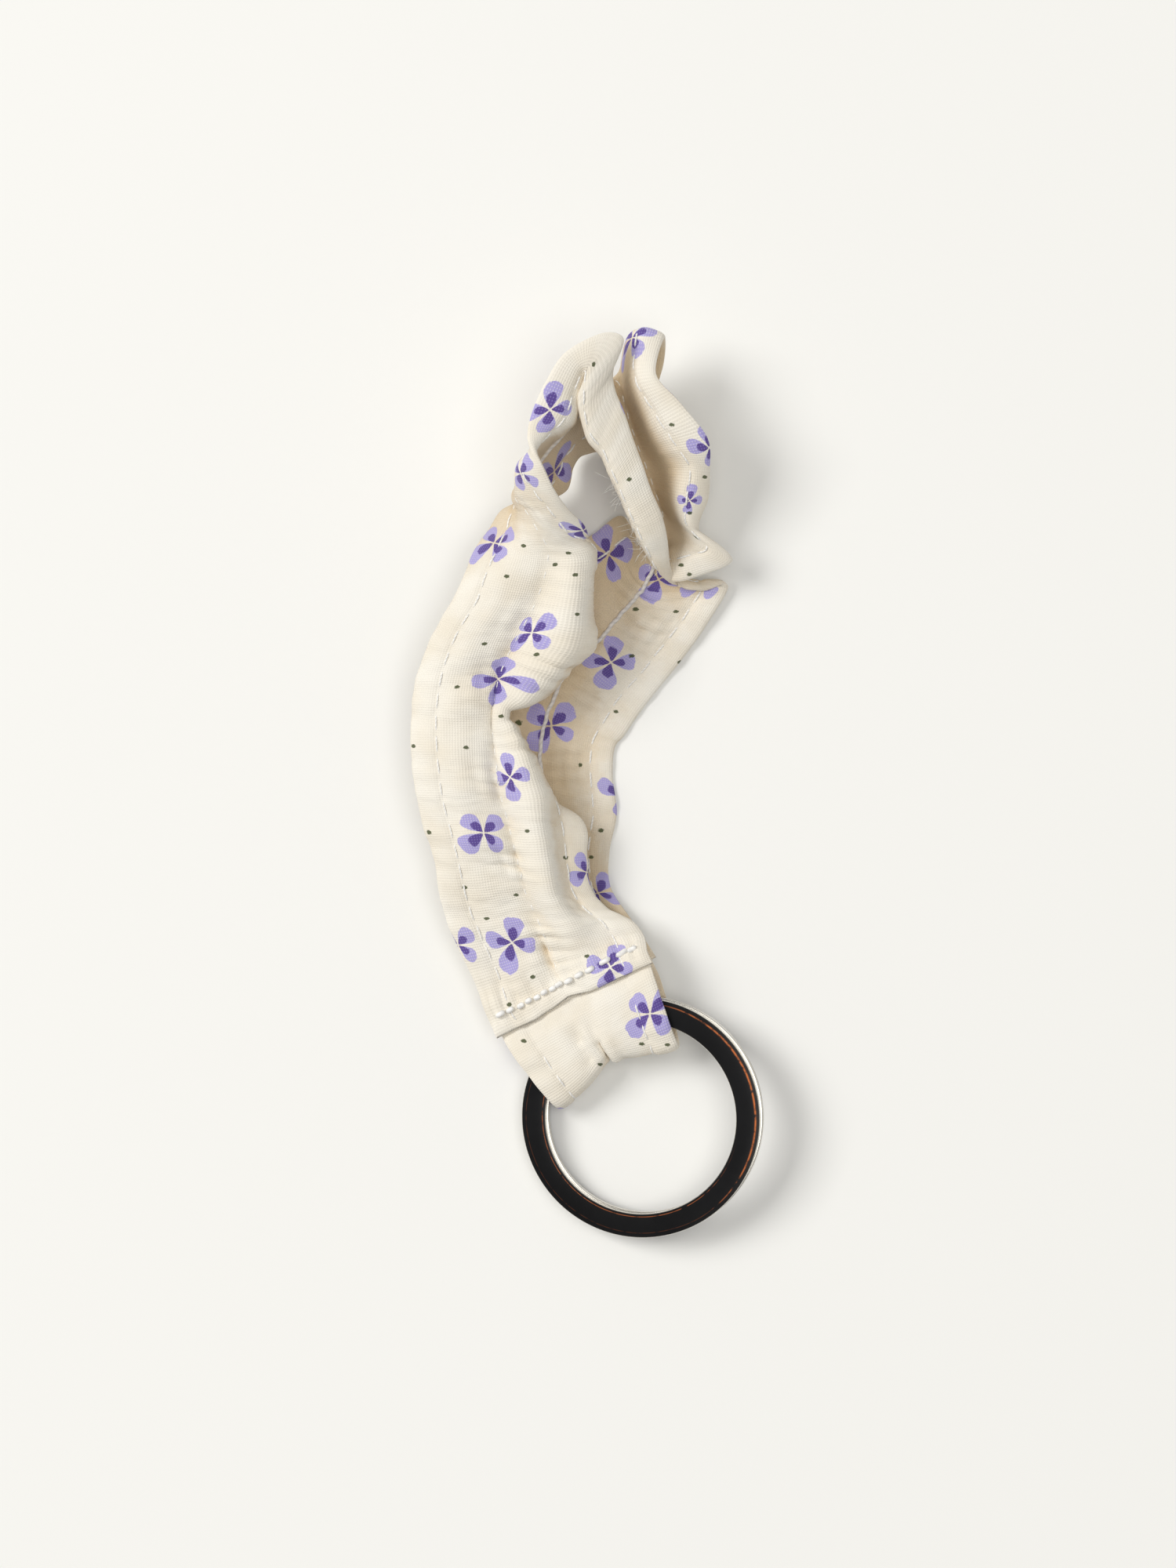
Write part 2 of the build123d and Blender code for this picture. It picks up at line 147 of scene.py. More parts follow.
class Finish:
    """A material whose nodes are written as expressions."""

    def __init__(self, name: str) -> None:
        """Starts an empty material with an output and a principled shader."""
        self.material = bpy.data.materials.new(name)
        self.material.use_nodes = True
        self.nodes = self.material.node_tree.nodes
        self.links = self.material.node_tree.links
        self.nodes.clear()
        self.shader = self.nodes.new("ShaderNodeBsdfPrincipled")
        output = self.nodes.new("ShaderNodeOutputMaterial")
        self.links.new(self.shader.outputs[0], output.inputs["Surface"])

    def node(self, kind: str, settings: dict[str, Any], inputs: dict[Any, Any], output: Any = 0) -> Shade:
        """Adds a node.

        Args:
            kind: the node's type.
            settings: its properties, set before its sockets.
            inputs: values or links by socket name or number.
            output: the name or number of the socket that is returned.

        Returns:
            The output socket.
        """
        made = self.nodes.new(kind)
        for key, value in settings.items():
            setattr(made, key, value)
        for key, value in inputs.items():
            if isinstance(value, Shade):
                self.links.new(value.socket, made.inputs[key])
            else:
                made.inputs[key].default_value = value
        return Shade(self, made.outputs[output])

    def place(self) -> Shade:
        """Object coordinates."""
        return self.node("ShaderNodeTexCoord", {}, {}, "Object")

    def chart(self, name: str) -> tuple[Shade, Shade]:
        """The two coordinates of a UV map, in the map's own units."""
        uv = self.node("ShaderNodeUVMap", {"uv_map": name}, {})
        return self.parts(uv)[:2]

    def parts(self, vector: Shade) -> tuple[Shade, Shade, Shade]:
        """The three parts of a vector."""
        split = self.node("ShaderNodeSeparateXYZ", {}, {0: vector})
        return tuple(Shade(self, socket) for socket in split.socket.node.outputs)

    def vector(self, *values: Shade | float) -> Shade:
        """A vector from its parts."""
        return self.node("ShaderNodeCombineXYZ", {}, dict(enumerate(values)))

    def noise(self, where: Shade, scale: float, detail: float = 2.0, rough: float = 0.5) -> Shade:
        """Cloudy noise from 0 to 1."""
        inputs = {"Vector": where, "Scale": scale, "Detail": detail, "Roughness": rough}
        return self.node("ShaderNodeTexNoise", {}, inputs)

    def mix(self, share: Shade | float, first: Any, second: Any) -> Shade:
        """Blends two colours."""
        inputs = {0: share, 6: first, 7: second}
        return self.node("ShaderNodeMix", {"data_type": "RGBA"}, inputs, 2)

    def bump(self, height: Shade, distance: float, strength: float = 1.0) -> None:
        """Feeds the shader's normal from a height."""
        inputs = {"Height": height, "Distance": distance, "Strength": strength}
        self.feed("Normal", self.node("ShaderNodeBump", {}, inputs))

    def feed(self, name: str, value: Any) -> None:
        """Sets or links one socket of the shader."""
        socket = self.shader.inputs[name]
        if isinstance(value, Shade):
            self.links.new(value.socket, socket)
        else:
            socket.default_value = value


Colour = tuple[float, float, float, float]


@dataclass(frozen=True)
class PrintedCotton:
    """Plain-weave cream cotton with violet flowers and dark green specks, darkened towards warm brown as painted
    shade where other cloth hides the sky.

    thread is the pitch of the weave in millimetres, and petals gives each petal's size
    and how far it leans, in radians.
    """

    cream: Colour = (0.930, 0.888, 0.802, 1.0)
    tan: Colour = (0.878, 0.812, 0.695, 1.0)
    # painted shade: the warm brown that hollows and the cloth under the front leg are darkened towards
    painted_shade_brown: Colour = (0.720, 0.570, 0.375, 1.0)
    petal: Colour = (0.385, 0.340, 0.735, 1.0)
    pale: Colour = (0.560, 0.530, 0.830, 1.0)
    heart: Colour = (0.098, 0.055, 0.285, 1.0)
    speck: Colour = (0.060, 0.080, 0.022, 1.0)
    thread: float = 0.30
    petals: tuple[tuple[float, float], ...] = ((1.0, 0.0), (0.9, 0.09), (1.06, -0.06), (0.84, 0.12))
    roughness: float = 0.86

    def material(self) -> bpy.types.Material:
        """Writes the cloth's nodes. Charts are in millimetres of flat cloth."""
        make = Finish("printed_cotton")
        across, along = make.chart("cloth")
        spot_x, spot_y = make.chart("flower")
        dot_x, dot_y = make.chart("speck")
        cloth = make.vector(across, along, 0.0)
        weave = self.weave(across, along)
        slub = make.noise(make.vector(across * 0.35, along * 3.0, 0.0), 1.3, 3.0)
        drift = make.noise(cloth, 0.16, 2.0)
        waver = make.noise(cloth, 1.1, 2.0)
        fray = make.noise(cloth, 5.0, 1.0)
        petals, hearts = self.flower(spot_x, spot_y, waver, fray)
        # painted shade: a chart of how much sky the cloth round each point hides darkens it towards warm brown
        painted_shade = make.chart("painted_shade")[0]
        ground = make.mix(drift.ramp(0.32, 0.70), self.cream, self.tan)
        ground = make.mix(painted_shade.ramp(0.0, 1.0) * 0.9, ground, self.painted_shade_brown)
        ink = make.mix(weave.ramp(0.45, 0.9) * 0.65 + fray * 0.2, self.petal, self.pale)
        dark = make.mix(weave.ramp(0.5, 1.0) * 0.40, self.heart, self.petal)
        colour = make.mix(petals * (0.93 - weave.ramp(0.6, 1.0) * 0.18), ground, ink)
        colour = make.mix(hearts * 0.94, colour, dark)
        colour = make.mix(self.dot(dot_x, dot_y, fray), colour, self.speck)
        make.feed("Base Color", colour)
        make.feed("Roughness", self.roughness)
        make.feed("Sheen Weight", 0.18)
        make.feed("Sheen Roughness", 0.5)
        make.feed("Specular IOR Level", 0.25)
        make.bump(weave + slub * 0.6 + fray * 0.25, 0.00007, 0.75)
        return make.material

    def weave(self, across: Shade, along: Shade) -> Shade:
        """Height of the over-and-under threads, from 0 to 1."""
        turn = math.pi / self.thread
        over = (across * turn).sine() * (along * turn).sine()
        ribs = (across * (2 * turn)).sine() * 0.12 + (along * (2 * turn)).sine() * 0.12
        return over.size() * 0.8 + ribs + 0.12

    def flower(self, x: Shade, y: Shade, waver: Shade, fray: Shade) -> tuple[Shade, Shade]:
        """Four teardrop petals with dark hearts.

        Args:
            x, y: place from the flower's middle, in millimetres.
            waver: slow noise that bends the outlines.
            fray: fine noise that roughens them.

        Returns:
            How much each point is petal, and how much it is heart.
        """
        whole: Shade | None = None
        hearts: Shade | None = None
        wobble = (waver - 0.5) * 0.9 + (fray - 0.5) * 0.22
        for index, (size, lean) in enumerate(self.petals):
            angle = index * math.pi / 2 + lean
            ahead = (x * math.cos(angle) + y * math.sin(angle)) * (1 / size)
            aside = (y * math.cos(angle) - x * math.sin(angle)) * (1 / size)
            inside = (ahead - 1.98 + wobble * 0.3) / 1.6
            width = (ahead * 0.37 + 0.42).most(0.08)
            form = inside * inside + (aside / width) ** 2.0
            petal = 1 - (form + wobble * 0.4).ramp(0.88, 1.06)
            core = (ahead - 1.15 + wobble * 0.4) / 0.98
            core_width = (ahead * 0.27 + 0.25).most(0.06)
            blot = core * core + ((aside + wobble * 0.3) / core_width) ** 2.0
            heart = 1 - (blot + wobble * 0.7).ramp(0.80, 1.15)
            whole = petal if whole is None else whole.most(petal)
            hearts = heart if hearts is None else hearts.most(heart)
        return whole, hearts

    def dot(self, x: Shade, y: Shade, fray: Shade) -> Shade:
        """A small ragged speck."""
        reach = (x * x + y * y * 2.2).root()
        return (1 - (reach + (fray - 0.5) * 0.35).ramp(0.27, 0.42)) * 0.92


@dataclass(frozen=True)
class Thread:
    """Twisted sewing thread or elastic."""

    name: str
    colour: Colour
    twist: float
    roughness: float = 0.55

    def material(self) -> bpy.types.Material:
        """Writes the thread's nodes. The chart runs along the thread, in millimetres."""
        make = Finish(self.name)
        around, along = make.chart("thread")
        strands = ((along * (2 * math.pi / self.twist)) + around * (2 * math.pi * 2)).sine()
        fuzz = make.noise(make.place(), 2600.0, 2.0)
        shade = (strands * 0.5 + 0.5) * 0.7 + fuzz * 0.3
        # painted shade: the grooves between the twisted strands, with some random fuzz, are darkened to 0.84 of
        # the thread's colour
        groove_shade = tuple(0.84 * part for part in self.colour[:3]) + (1.0,)
        make.feed("Base Color", make.mix(shade.ramp(0.1, 0.75), groove_shade, self.colour))
        make.feed("Roughness", self.roughness)
        make.feed("Sheen Weight", 0.2)
        make.bump(shade, 0.00005, 0.7)
        return make.material


@dataclass(frozen=True)
class NickelWithPaintedReflection:
    """Polished nickel, bright on the ring's sides and copper where worn; its faces are painted near-black as a
    painted reflection of the dark surroundings they would mirror.
    """

    centre: tuple[float, float, float]
    turn: tuple[float, float, float]
    axis: tuple[float, float, float]
    inner: float
    outer: float
    # painted reflection: the near-black given to the polished faces in place of the dark surroundings they would
    # mirror
    reflection_black: Colour = (0.0045, 0.0045, 0.005, 1.0)
    reflection_grey: Colour = (0.009, 0.009, 0.010, 1.0)
    dust: Colour = (0.32, 0.25, 0.20, 1.0)
    copper: Colour = (0.62, 0.165, 0.040, 1.0)
    bright: Colour = (0.78, 0.755, 0.70, 1.0)
    dull: Colour = (0.66, 0.63, 0.57, 1.0)

    def material(self) -> bpy.types.Material:
        """Writes the plating's nodes, on object coordinates turned to the ring."""
        make = Finish("nickel_painted_reflection")
        settings = {"vector_type": "TEXTURE"}
        inputs = {"Vector": make.place(), "Location": self.centre, "Rotation": self.turn}
        local = make.node("ShaderNodeMapping", settings, inputs)
        x, y, z = make.parts(local)
        reach = (x * x + y * y).root() * (1 / MM)
        height = z.size() * (1 / MM)
        fine = make.noise(local, 900.0, 4.0, 0.6)
        broad = make.noise(local, 110.0, 3.0)
        scratch = make.noise(make.vector(x * 0.25, y * 3.0, z), 2600.0, 2.0)
        facing = make.parts(make.node("ShaderNodeTexCoord", {}, {}, "Normal"))
        level = facing[0] * self.axis[0] + facing[1] * self.axis[1] + facing[2] * self.axis[2]
        # painted reflection: the faces, found by pointing along the ring's axis, get the painted dark reflection;
        # the sides stay bright
        face = level.size().ramp(0.80, 0.95) * height.ramp(0.25, 0.40)
        near_inner = 1 - (reach - self.inner - 0.33 - broad * 0.10).size().ramp(0.01, 0.07)
        right = (x * 60.0 - y * 14.0).ramp(0.15, 0.95)
        off_outer = (reach - self.outer + 0.74 - broad * 0.30).size()
        near_outer = 1 - off_outer.ramp(0.01, 0.07 + right * 0.12)
        left = 1 - (x * 60.0 + y * 10.0).ramp(-0.2, 0.5)
        grazed = fine.ramp(0.34, 0.55)
        worn = (near_outer * (right * 0.95 + 0.1) + near_inner * left * 0.55) * grazed
        specks = fine.ramp(0.70, 0.80) * scratch.ramp(0.5, 0.8)
        # painted reflection: near-black with random patches, then dust specks and copper wear over it
        dark = make.mix(broad.ramp(0.2, 0.8), self.reflection_black, self.reflection_grey)
        dark = make.mix(specks * 0.25, dark, self.dust)
        dark = make.mix(worn * 0.95, dark, self.copper)
        side = make.mix(broad.ramp(0.3, 0.7), self.bright, self.dull)
        # the faces show the painted reflection as a dark non-metallic colour; the sides are bright metal
        make.feed("Base Color", make.mix(face, side, dark))
        make.feed("Metallic", 1 - face)
        make.feed("Specular IOR Level", 0.22)
        make.feed("Roughness", 0.17 + fine * 0.07 + specks * 0.2 + worn * 0.2)
        make.bump(fine + scratch * 0.5, 0.000012, 0.12)
        return make.material


@dataclass(frozen=True)
class PaleTable:
    """Plain off-white paper sweep."""

    colour: Colour = (0.955, 0.955, 0.935, 1.0)

    def material(self) -> bpy.types.Material:
        """A matte, slightly uneven white."""
        make = Finish("pale_table")
        cloud = make.noise(make.place(), 9.0, 2.0)
        low = tuple(0.985 * part for part in self.colour[:3]) + (1.0,)
        make.feed("Base Color", make.mix(cloud, self.colour, low))
        make.feed("Roughness", 0.9)
        make.feed("Specular IOR Level", 0.1)
        return make.material


# ---------------------------------------------------------------------------
# Mesh helpers
# ---------------------------------------------------------------------------


def rows_of(points: Array) -> list[tuple[float, float, float]]:
    """Points as tuples, for from_pydata."""
    return [tuple(map(float, point)) for point in points]


def new_piece(name: str, points: Array, faces: Sequence[Sequence[int]]) -> bpy.types.Object:
    """Makes a smooth-shaded object from millimetre points in the drawing frame.

    Args:
        name: the piece's name.
        points: its vertices.
        faces: its faces, as vertex numbers.

    Returns:
        The object, at the origin, with its place in its mesh.
    """
    mesh = bpy.data.meshes.new(name)
    mesh.from_pydata(rows_of((points + ORIGIN) * MM), [], [list(map(int, face)) for face in faces])
    mesh.polygons.foreach_set("use_smooth", [True] * len(mesh.polygons))
    mesh.update()
    piece = bpy.data.objects.new(name, mesh)
    bpy.context.scene.collection.objects.link(piece)
    return piece


def add_chart(piece: bpy.types.Object, name: str, corners: Array) -> None:
    """Writes a UV map, given one pair of numbers for each face corner."""
    layer = piece.data.uv_layers.new(name=name)
    layer.data.foreach_set("uv", corners.astype(np.float32).ravel())


def unit(vectors: Array) -> Array:
    """Vectors made one long."""
    return vectors / np.maximum(np.linalg.norm(vectors, axis=-1, keepdims=True), 1e-9)


def smooth_step(values: Array, low: float, high: float) -> Array:
    """0 below low, 1 above high, and a smooth rise between."""
    share = np.clip((values - low) / (high - low), 0, 1)
    return share * share * (3 - 2 * share)


def hump(values: Array, centre: float, width: float) -> Array:
    """1 at the centre, falling away smoothly on both sides."""
    return np.exp(-(((values - centre) / width) ** 2))


def window(values: Array, rise: tuple[float, float], fall: tuple[float, float]) -> Array:
    """A smooth rise from 0 to 1 over one span, and a fall back over a later one."""
    return smooth_step(values, *rise) * (1 - smooth_step(values, *fall))


def averaged(values: Array, span: int) -> Array:
    """Rolling mean of each column over an odd number of rows, with the ends held."""
    pad = span // 2
    kernel = np.ones(span) / span
    held = np.pad(values, ((pad, pad), (0, 0)), mode="edge")
    return np.stack([np.convolve(column, kernel, "valid") for column in held.T], axis=1)


def ripple(values: Array, lengths: Sequence[float], seed: int) -> Array:
    """An uneven wave: a sum of sines of these lengths, between about -1 and 1."""
    draw = np.random.default_rng(seed)
    total = np.zeros_like(values, dtype=float)
    for length in lengths:
        total += np.sin(2 * math.pi * values / length + draw.uniform(0, 2 * math.pi))
    return total / max(len(lengths), 1)


def spline(knots: Array, points: Array, wanted: Array) -> Array:
    """A curve through points: cubic, with slopes from each point's neighbours.

    Args:
        knots: one rising number for each point.
        points: the points, along the first axis.
        wanted: the numbers where the curve is read.

    Returns:
        The points there, along the first axis.
    """
    slopes = np.gradient(points, knots, axis=0)
    near = np.clip(np.searchsorted(knots, wanted, side="right") - 1, 0, len(knots) - 2)
    far = near + 1
    width = knots[far] - knots[near]
    shape = (-1,) + (1,) * (points.ndim - 1)
    t = ((wanted - knots[near]) / width).reshape(shape)
    width = width.reshape(shape)
    start = points[near] * (2 * t**3 - 3 * t**2 + 1) + slopes[near] * width * (t**3 - 2 * t**2 + t)
    end = points[far] * (3 * t**2 - 2 * t**3) + slopes[far] * width * (t**3 - t**2)
    return start + end


def tube_faces(stations: int, around: int, closed_ends: bool = True) -> list[list[int]]:
    """Faces that join rings of vertices into a tube."""
    faces = []
    for station in range(stations - 1):
        for side in range(around):
            near = station * around + side
            beside = station * around + (side + 1) % around
            faces.append([near, beside, beside + around, near + around])
    if closed_ends:
        faces.append(list(range(around))[::-1])
        faces.append([(stations - 1) * around + side for side in range(around)])
    return faces


# ---------------------------------------------------------------------------
# The cloth's print: where flowers and specks fall
# ---------------------------------------------------------------------------


class Face(Enum):
    """Which side of the band shows."""

    OUTER = 0
    INNER = 1


@dataclass(frozen=True)
class Motif:
    """One printed flower or speck, by where it shows from above."""

    x: float
    y: float
    face: Face
    first: float
    last: float
    turn: float = 0.0
    size: float = 1.0
    left: float = -11.0
    right: float = 11.0


# ---------------------------------------------------------------------------
# Sewn cotton
# ---------------------------------------------------------------------------

HEM = 3.4
HALF_WIDTH = 11.0
STITCH_LINE = 7.6
SIDES = (("left", -STITCH_LINE), ("right", STITCH_LINE))
CROSS = np.array([-HALF_WIDTH, HEM - HALF_WIDTH, 0.0, HALF_WIDTH - HEM, HALF_WIDTH])
SEAM_CENTRE = np.array([-1.42137, -26.6862, 3.79773])
SEAM_DIRECTION = np.array([0.86165, 0.477621, 0.171574])
RING_NORMAL = np.array([-0.163176, -0.059391, 0.984808])
AWAY_FROM_RING = np.cross(RING_NORMAL, SEAM_DIRECTION)
RING_CENTRE = np.array([6.7, -41.5, 4.25])
FLOOR_GAP = 0.02
CELL = 0.45
GRID_CORNER = (40.0, 80.0)
GRID_SHAPE = (200, 400)


def from_seam(x: float, y: float, z: float) -> Array:
    """A point given across the seam, away from the ring and up from the ring's plane."""
    return SEAM_CENTRE + x * SEAM_DIRECTION + y * AWAY_FROM_RING + z * RING_NORMAL


def in_row(place: Array) -> tuple[float, float, float]:
    """A drawing-frame point in metres in the row's frame."""
    return tuple(float(part) for part in (place + ORIGIN) * MM)


def sew_across_seam(piece: bpy.types.Object) -> None:
    """Bakes a piece's transform into its mesh. The two points across the closing seam, where the tab leaves it,
    are found but not used.
    """
    reach = 1.7
    start, end = in_row(from_seam(0, reach, 0)), in_row(from_seam(0, -reach, 0))
    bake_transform(piece)


@dataclass
class Strip:
    """A hemmed strip of two layers of cotton, drawn by rows of five points across it."""

    rows: Array
    name: str
    seed: int
    step: float = 0.32
    gather: float = 0.42
    panel: float = 0.26
    rumple: float = 0.045
    flowers: Sequence[Motif] = ()
    specks: Sequence[Motif] = ()
    points: Array = field(init=False)
    normals: Array = field(init=False)
    across: Array = field(init=False)
    along: Array = field(init=False)
    stations: Array = field(init=False)
    metric: Array = field(init=False)
    open_view: Array = field(init=False)

    def __post_init__(self) -> None:
        """Draws the smooth middle surface and its two displaced faces."""
        self.across = self.crossing()
        spans = np.linalg.norm(np.diff(self.rows, axis=0), axis=2).mean(axis=1)
        knots = np.concatenate([[0.0], np.cumsum(spans)])
        count = int(knots[-1] / self.step) + 1
        self.along = np.linspace(0, knots[-1], count)
        self.stations = np.interp(self.along, knots, np.arange(len(knots)))
        rails = spline(knots, self.rows, self.along)
        middle = np.stack([spline(CROSS, rails[i], self.across) for i in range(count)])
        normal = self.facing(middle)
        length = np.linalg.norm(np.gradient(middle, self.along, axis=0), axis=2)
        height = self.folds() * np.clip(length, 0.15, 1.15) ** 1.5 + self.settle()
        middle = middle + normal * height[..., None]
        normal = self.facing(middle)
        half = self.thickness()
        outer = middle + normal * (half + self.crinkle(1))[..., None]
        inner = middle - normal * (half + self.crinkle(2))[..., None]
        for rim in (0, -1):
            outer[:, rim] = middle[:, rim]
        self.points = np.concatenate([outer, inner[:, -2:0:-1]], axis=1)
        self.normals = np.concatenate([normal, -normal[:, -2:0:-1]], axis=1)
        self.close_ends(middle)
        self.points[..., 2] = np.maximum(self.points[..., 2], FLOOR_GAP)
        self.open_view = self.open_to_view()
        self.measure()

    def crossing(self) -> Array:
        """Places across the strip, closer together at the hems."""
        half = np.concatenate([
            np.linspace(0.0, 6.6, 13),
            np.linspace(6.95, 8.3, 6),
            np.linspace(8.7, 10.2, 5),
            np.array([10.45, 10.65, 10.81, 10.92, 10.98, 11.0]),
        ])
        return np.concatenate([-half[:0:-1], half])

    def facing(self, surface: Array) -> Array:
        """Outward directions of a grid of points."""
        ahead = np.gradient(surface, axis=0)
        aside = np.gradient(surface, self.across, axis=1)
        return unit(np.cross(aside, ahead))

    def folds(self) -> Array:
        """Height of the gathers and of the hems' waves, which both layers share."""
        v = self.along[:, None]
        u = self.across[None, :]
        lean = 0.55 * np.sin(u / 3.1 + v / 9.0) + 0.35 * np.sin(u / 1.7 - v / 6.1)
        wave = ripple(v + lean, (5.3, 3.7, 2.9), self.seed)
        fine = ripple(v - 0.6 * lean + 0.15 * u, (2.2, 1.7, 1.35), self.seed + 1)
        sharp = 1 - 2 * np.abs(np.sin(math.pi * (v + 1.3 * lean) / 4.6 + 0.8 * wave))
        centre = hump(u, 0.3, 2.1)
        right = window(u, (0.5, 3.5), (6.2, 7.4))
        left = window(u, (-7.5, -5.5), (-2.5, 0.0))
        broad = ripple(v + 0.8 * lean, (8.7, 6.1), self.seed + 5)
        tuck = ripple(v + 0.85 * u, (4.3, 3.1), self.seed + 6)
        tuck = tuck * ripple(v - 0.7 * u, (5.3, 3.7), self.seed + 7)
        inside = centre * (0.25 * fine + 0.40 * sharp + 1.3 * tuck)
        inside = inside + right * (0.45 * wave + 0.08 * fine + 0.8 * tuck)
        inside = self.gather * (inside + left * (0.8 * broad + 0.05 * fine + 0.5 * tuck))
        hem = 0.16 * ripple(v + 0.2 * u, (4.1, 2.9, 6.3), self.seed + 2)
        in_hem = smooth_step(np.abs(u), 7.2, 8.2)
        return inside * (1 - in_hem) + hem * in_hem

    def settle(self) -> Array:
        """Broad shape between the hems, over the rows' own shape: none on a plain strip."""
        return np.zeros((len(self.along), len(self.across)))

    def crinkle(self, side: int) -> Array:
        """Small unevenness that each layer has on its own."""
        v = self.along[:, None]
        u = self.across[None, :]
        seed = self.seed + 10 * side
        first = ripple(v + 0.5 * np.sin(u / 1.3), (1.25, 0.95, 1.7), seed)
        second = ripple(u + 0.4 * np.sin(v / 1.1), (1.4, 2.3), seed + 1)
        still = 1 - smooth_step(np.abs(u), 10.2, 10.9)
        return self.rumple * (first + 0.7 * first * second) * still

    def thickness(self) -> Array:
        """Half of the thickness: puffed panel, thin at the topstitches, rolled at the edges."""
        u = np.abs(self.across)[None, :]
        panel = self.panel + 0.22 * np.sin(math.pi * np.clip(u / STITCH_LINE, 0, 1)) ** 2
        hem = 0.34 + 0.16 * np.sin(math.pi * np.clip((u - STITCH_LINE) / HEM, 0, 1))
        body = np.where(u < STITCH_LINE, panel, hem)
        seam = hump(u, STITCH_LINE, 0.33)
        pull = 0.5 + 0.5 * np.cos(2 * math.pi * self.along[:, None] / 1.45)
        body = body * (1 - seam) + (0.13 + 0.10 * pull) * seam
        roll = 0.75
        rim = np.sqrt(np.clip(1 - ((u - HALF_WIDTH + roll) / roll) ** 2, 0, 1))
        return np.where(u > HALF_WIDTH - roll, body * rim, body)

    def close_ends(self, middle: Array) -> None:
        """Rolls the first and last rows shut."""
        width = len(self.across)
        mirror = np.concatenate([np.arange(width), np.arange(width - 2, 0, -1)])
        rolls = (0.0, 0.55, 0.82, 0.96)
        for row, share in enumerate(rolls):
            for place in (row, len(self.along) - 1 - row):
                core = middle[place][mirror]
                self.points[place] = core + (self.points[place] - core) * share

    def measure(self) -> None:
        """Real length for each unit of the chart, along and across, at every point."""
        width = len(self.across)
        outer = self.points[:, :width]
        ahead = np.linalg.norm(np.gradient(outer, self.along, axis=0), axis=2)
        aside = np.linalg.norm(np.gradient(outer, self.across, axis=1), axis=2)
        ahead = averaged(ahead, 15)
        self.metric = np.stack([np.clip(aside, 0.5, 2.0), np.clip(ahead, 0.45, 2.6)], axis=2)

    def chart_of(self, column: Array) -> Array:
        """Distance round the strip for each column: outer face first, then the inner one."""
        inner = 2 * HALF_WIDTH - self.across[-2:0:-1]
        line = np.concatenate([self.across, inner, [3 * HALF_WIDTH]])
        return line[column]

    def side_columns(self, face: Face) -> Array:
        """Columns of one face."""
        width = len(self.across)
        around = self.points.shape[1]
        return np.arange(width) if face is Face.OUTER else np.arange(width - 1, around)

    def locate(self, motif: Motif) -> tuple[float, ...]:
        """Finds the chart place of a motif seen from above.

        Args:
            motif: where it shows, and between which rows.

        Returns:
            Place round and along, the real lengths of a unit there, the turn on the chart and the size.
        """
        columns = self.side_columns(motif.face)
        rows = np.where((self.stations >= motif.first) & (self.stations <= motif.last))[0]
        grid = self.points[np.ix_(rows, columns)]
        places = self.chart_of(columns)
        places = np.where(places > HALF_WIDTH, 2 * HALF_WIDTH - places, places)
        beside = (places < motif.left) | (places > motif.right)
        flat = np.hypot(grid[..., 0] - motif.x, grid[..., 1] - motif.y) + 100 * beside[None, :]
        near = flat <= flat.min() + 0.35
        height = np.where(near, grid[..., 2] - flat, -1e9)
        row, column = np.unravel_index(np.argmax(height), height.shape)
        place, whole = int(rows[row]), int(columns[column])
        width, around = len(self.across), self.points.shape[1]
        twin = whole if whole < width else 2 * width - 2 - whole
        later, sooner = min(place + 3, len(self.along) - 1), max(place - 3, 0)
        ahead = self.points[later, whole] - self.points[sooner, whole]
        aside = self.points[place, (whole + 2) % around] - self.points[place, whole - 2]
        axes = np.stack([unit(aside)[:2], unit(ahead)[:2]], axis=1)
        aim = np.array([math.cos(math.radians(motif.turn)), math.sin(math.radians(motif.turn))])
        local = np.linalg.lstsq(axes, aim, rcond=0.2)[0]
        turn = math.atan2(local[1], local[0])
        scale = self.metric[place, twin]
        chart = float(self.chart_of(np.array([whole]))[0])
        return chart, float(self.along[place]), float(scale[0]), float(scale[1]), turn, motif.size

    def heights(self, floor: float) -> tuple[Array, Array, Array]:
        """Finds the highest cloth over each cell of a level grid.

        Args:
            floor: the height of an empty cell.

        Returns:
            Each point's cell, as two numbers, and the grid of heights.
        """
        x = ((self.points[..., 0] + GRID_CORNER[0]) / CELL).astype(int)
        y = ((self.points[..., 1] + GRID_CORNER[1]) / CELL).astype(int)
        tops = np.full(GRID_SHAPE, floor)
        np.maximum.at(tops, (x, y), self.points[..., 2])
        return x, y, tops

    def open_to_view(self) -> Array:
        """Marks the points that nothing covers from above."""
        x, y, tops = self.heights(-1.0)
        cloth = 0.9
        return self.points[..., 2] > tops[x, y] - cloth

    def painted_shade_shares(self) -> Array:
        """How much of the sky the cloth round each upward point hides, from 0 to 1: how much painted shade the
        cloth's colour gets there.
        """
        x, y, tops = self.heights(0.0)
        height = self.points[..., 2]
        hidden = np.zeros(x.shape)
        bearings = np.arange(12) * math.pi / 6
        slack = 0.35
        for bearing in bearings:
            steepest = np.zeros(x.shape)
            for reach in (1.8, 2.8, 4.0, 5.5, 7.2, 9.5, 12.5):
                aside = np.clip(x + round(reach * math.cos(bearing) / CELL), 0, GRID_SHAPE[0] - 1)
                ahead = np.clip(y + round(reach * math.sin(bearing) / CELL), 0, GRID_SHAPE[1] - 1)
                steepest = np.maximum(steepest, (tops[aside, ahead] - height - slack) / reach)
            hidden += steepest / np.sqrt(1 + steepest**2) / len(bearings)
        least, span = 0.08, 0.48
        upward = smooth_step(self.normals[..., 2], -0.5, 0.1)
        return np.clip((hidden - least) / span, 0, 1) * upward

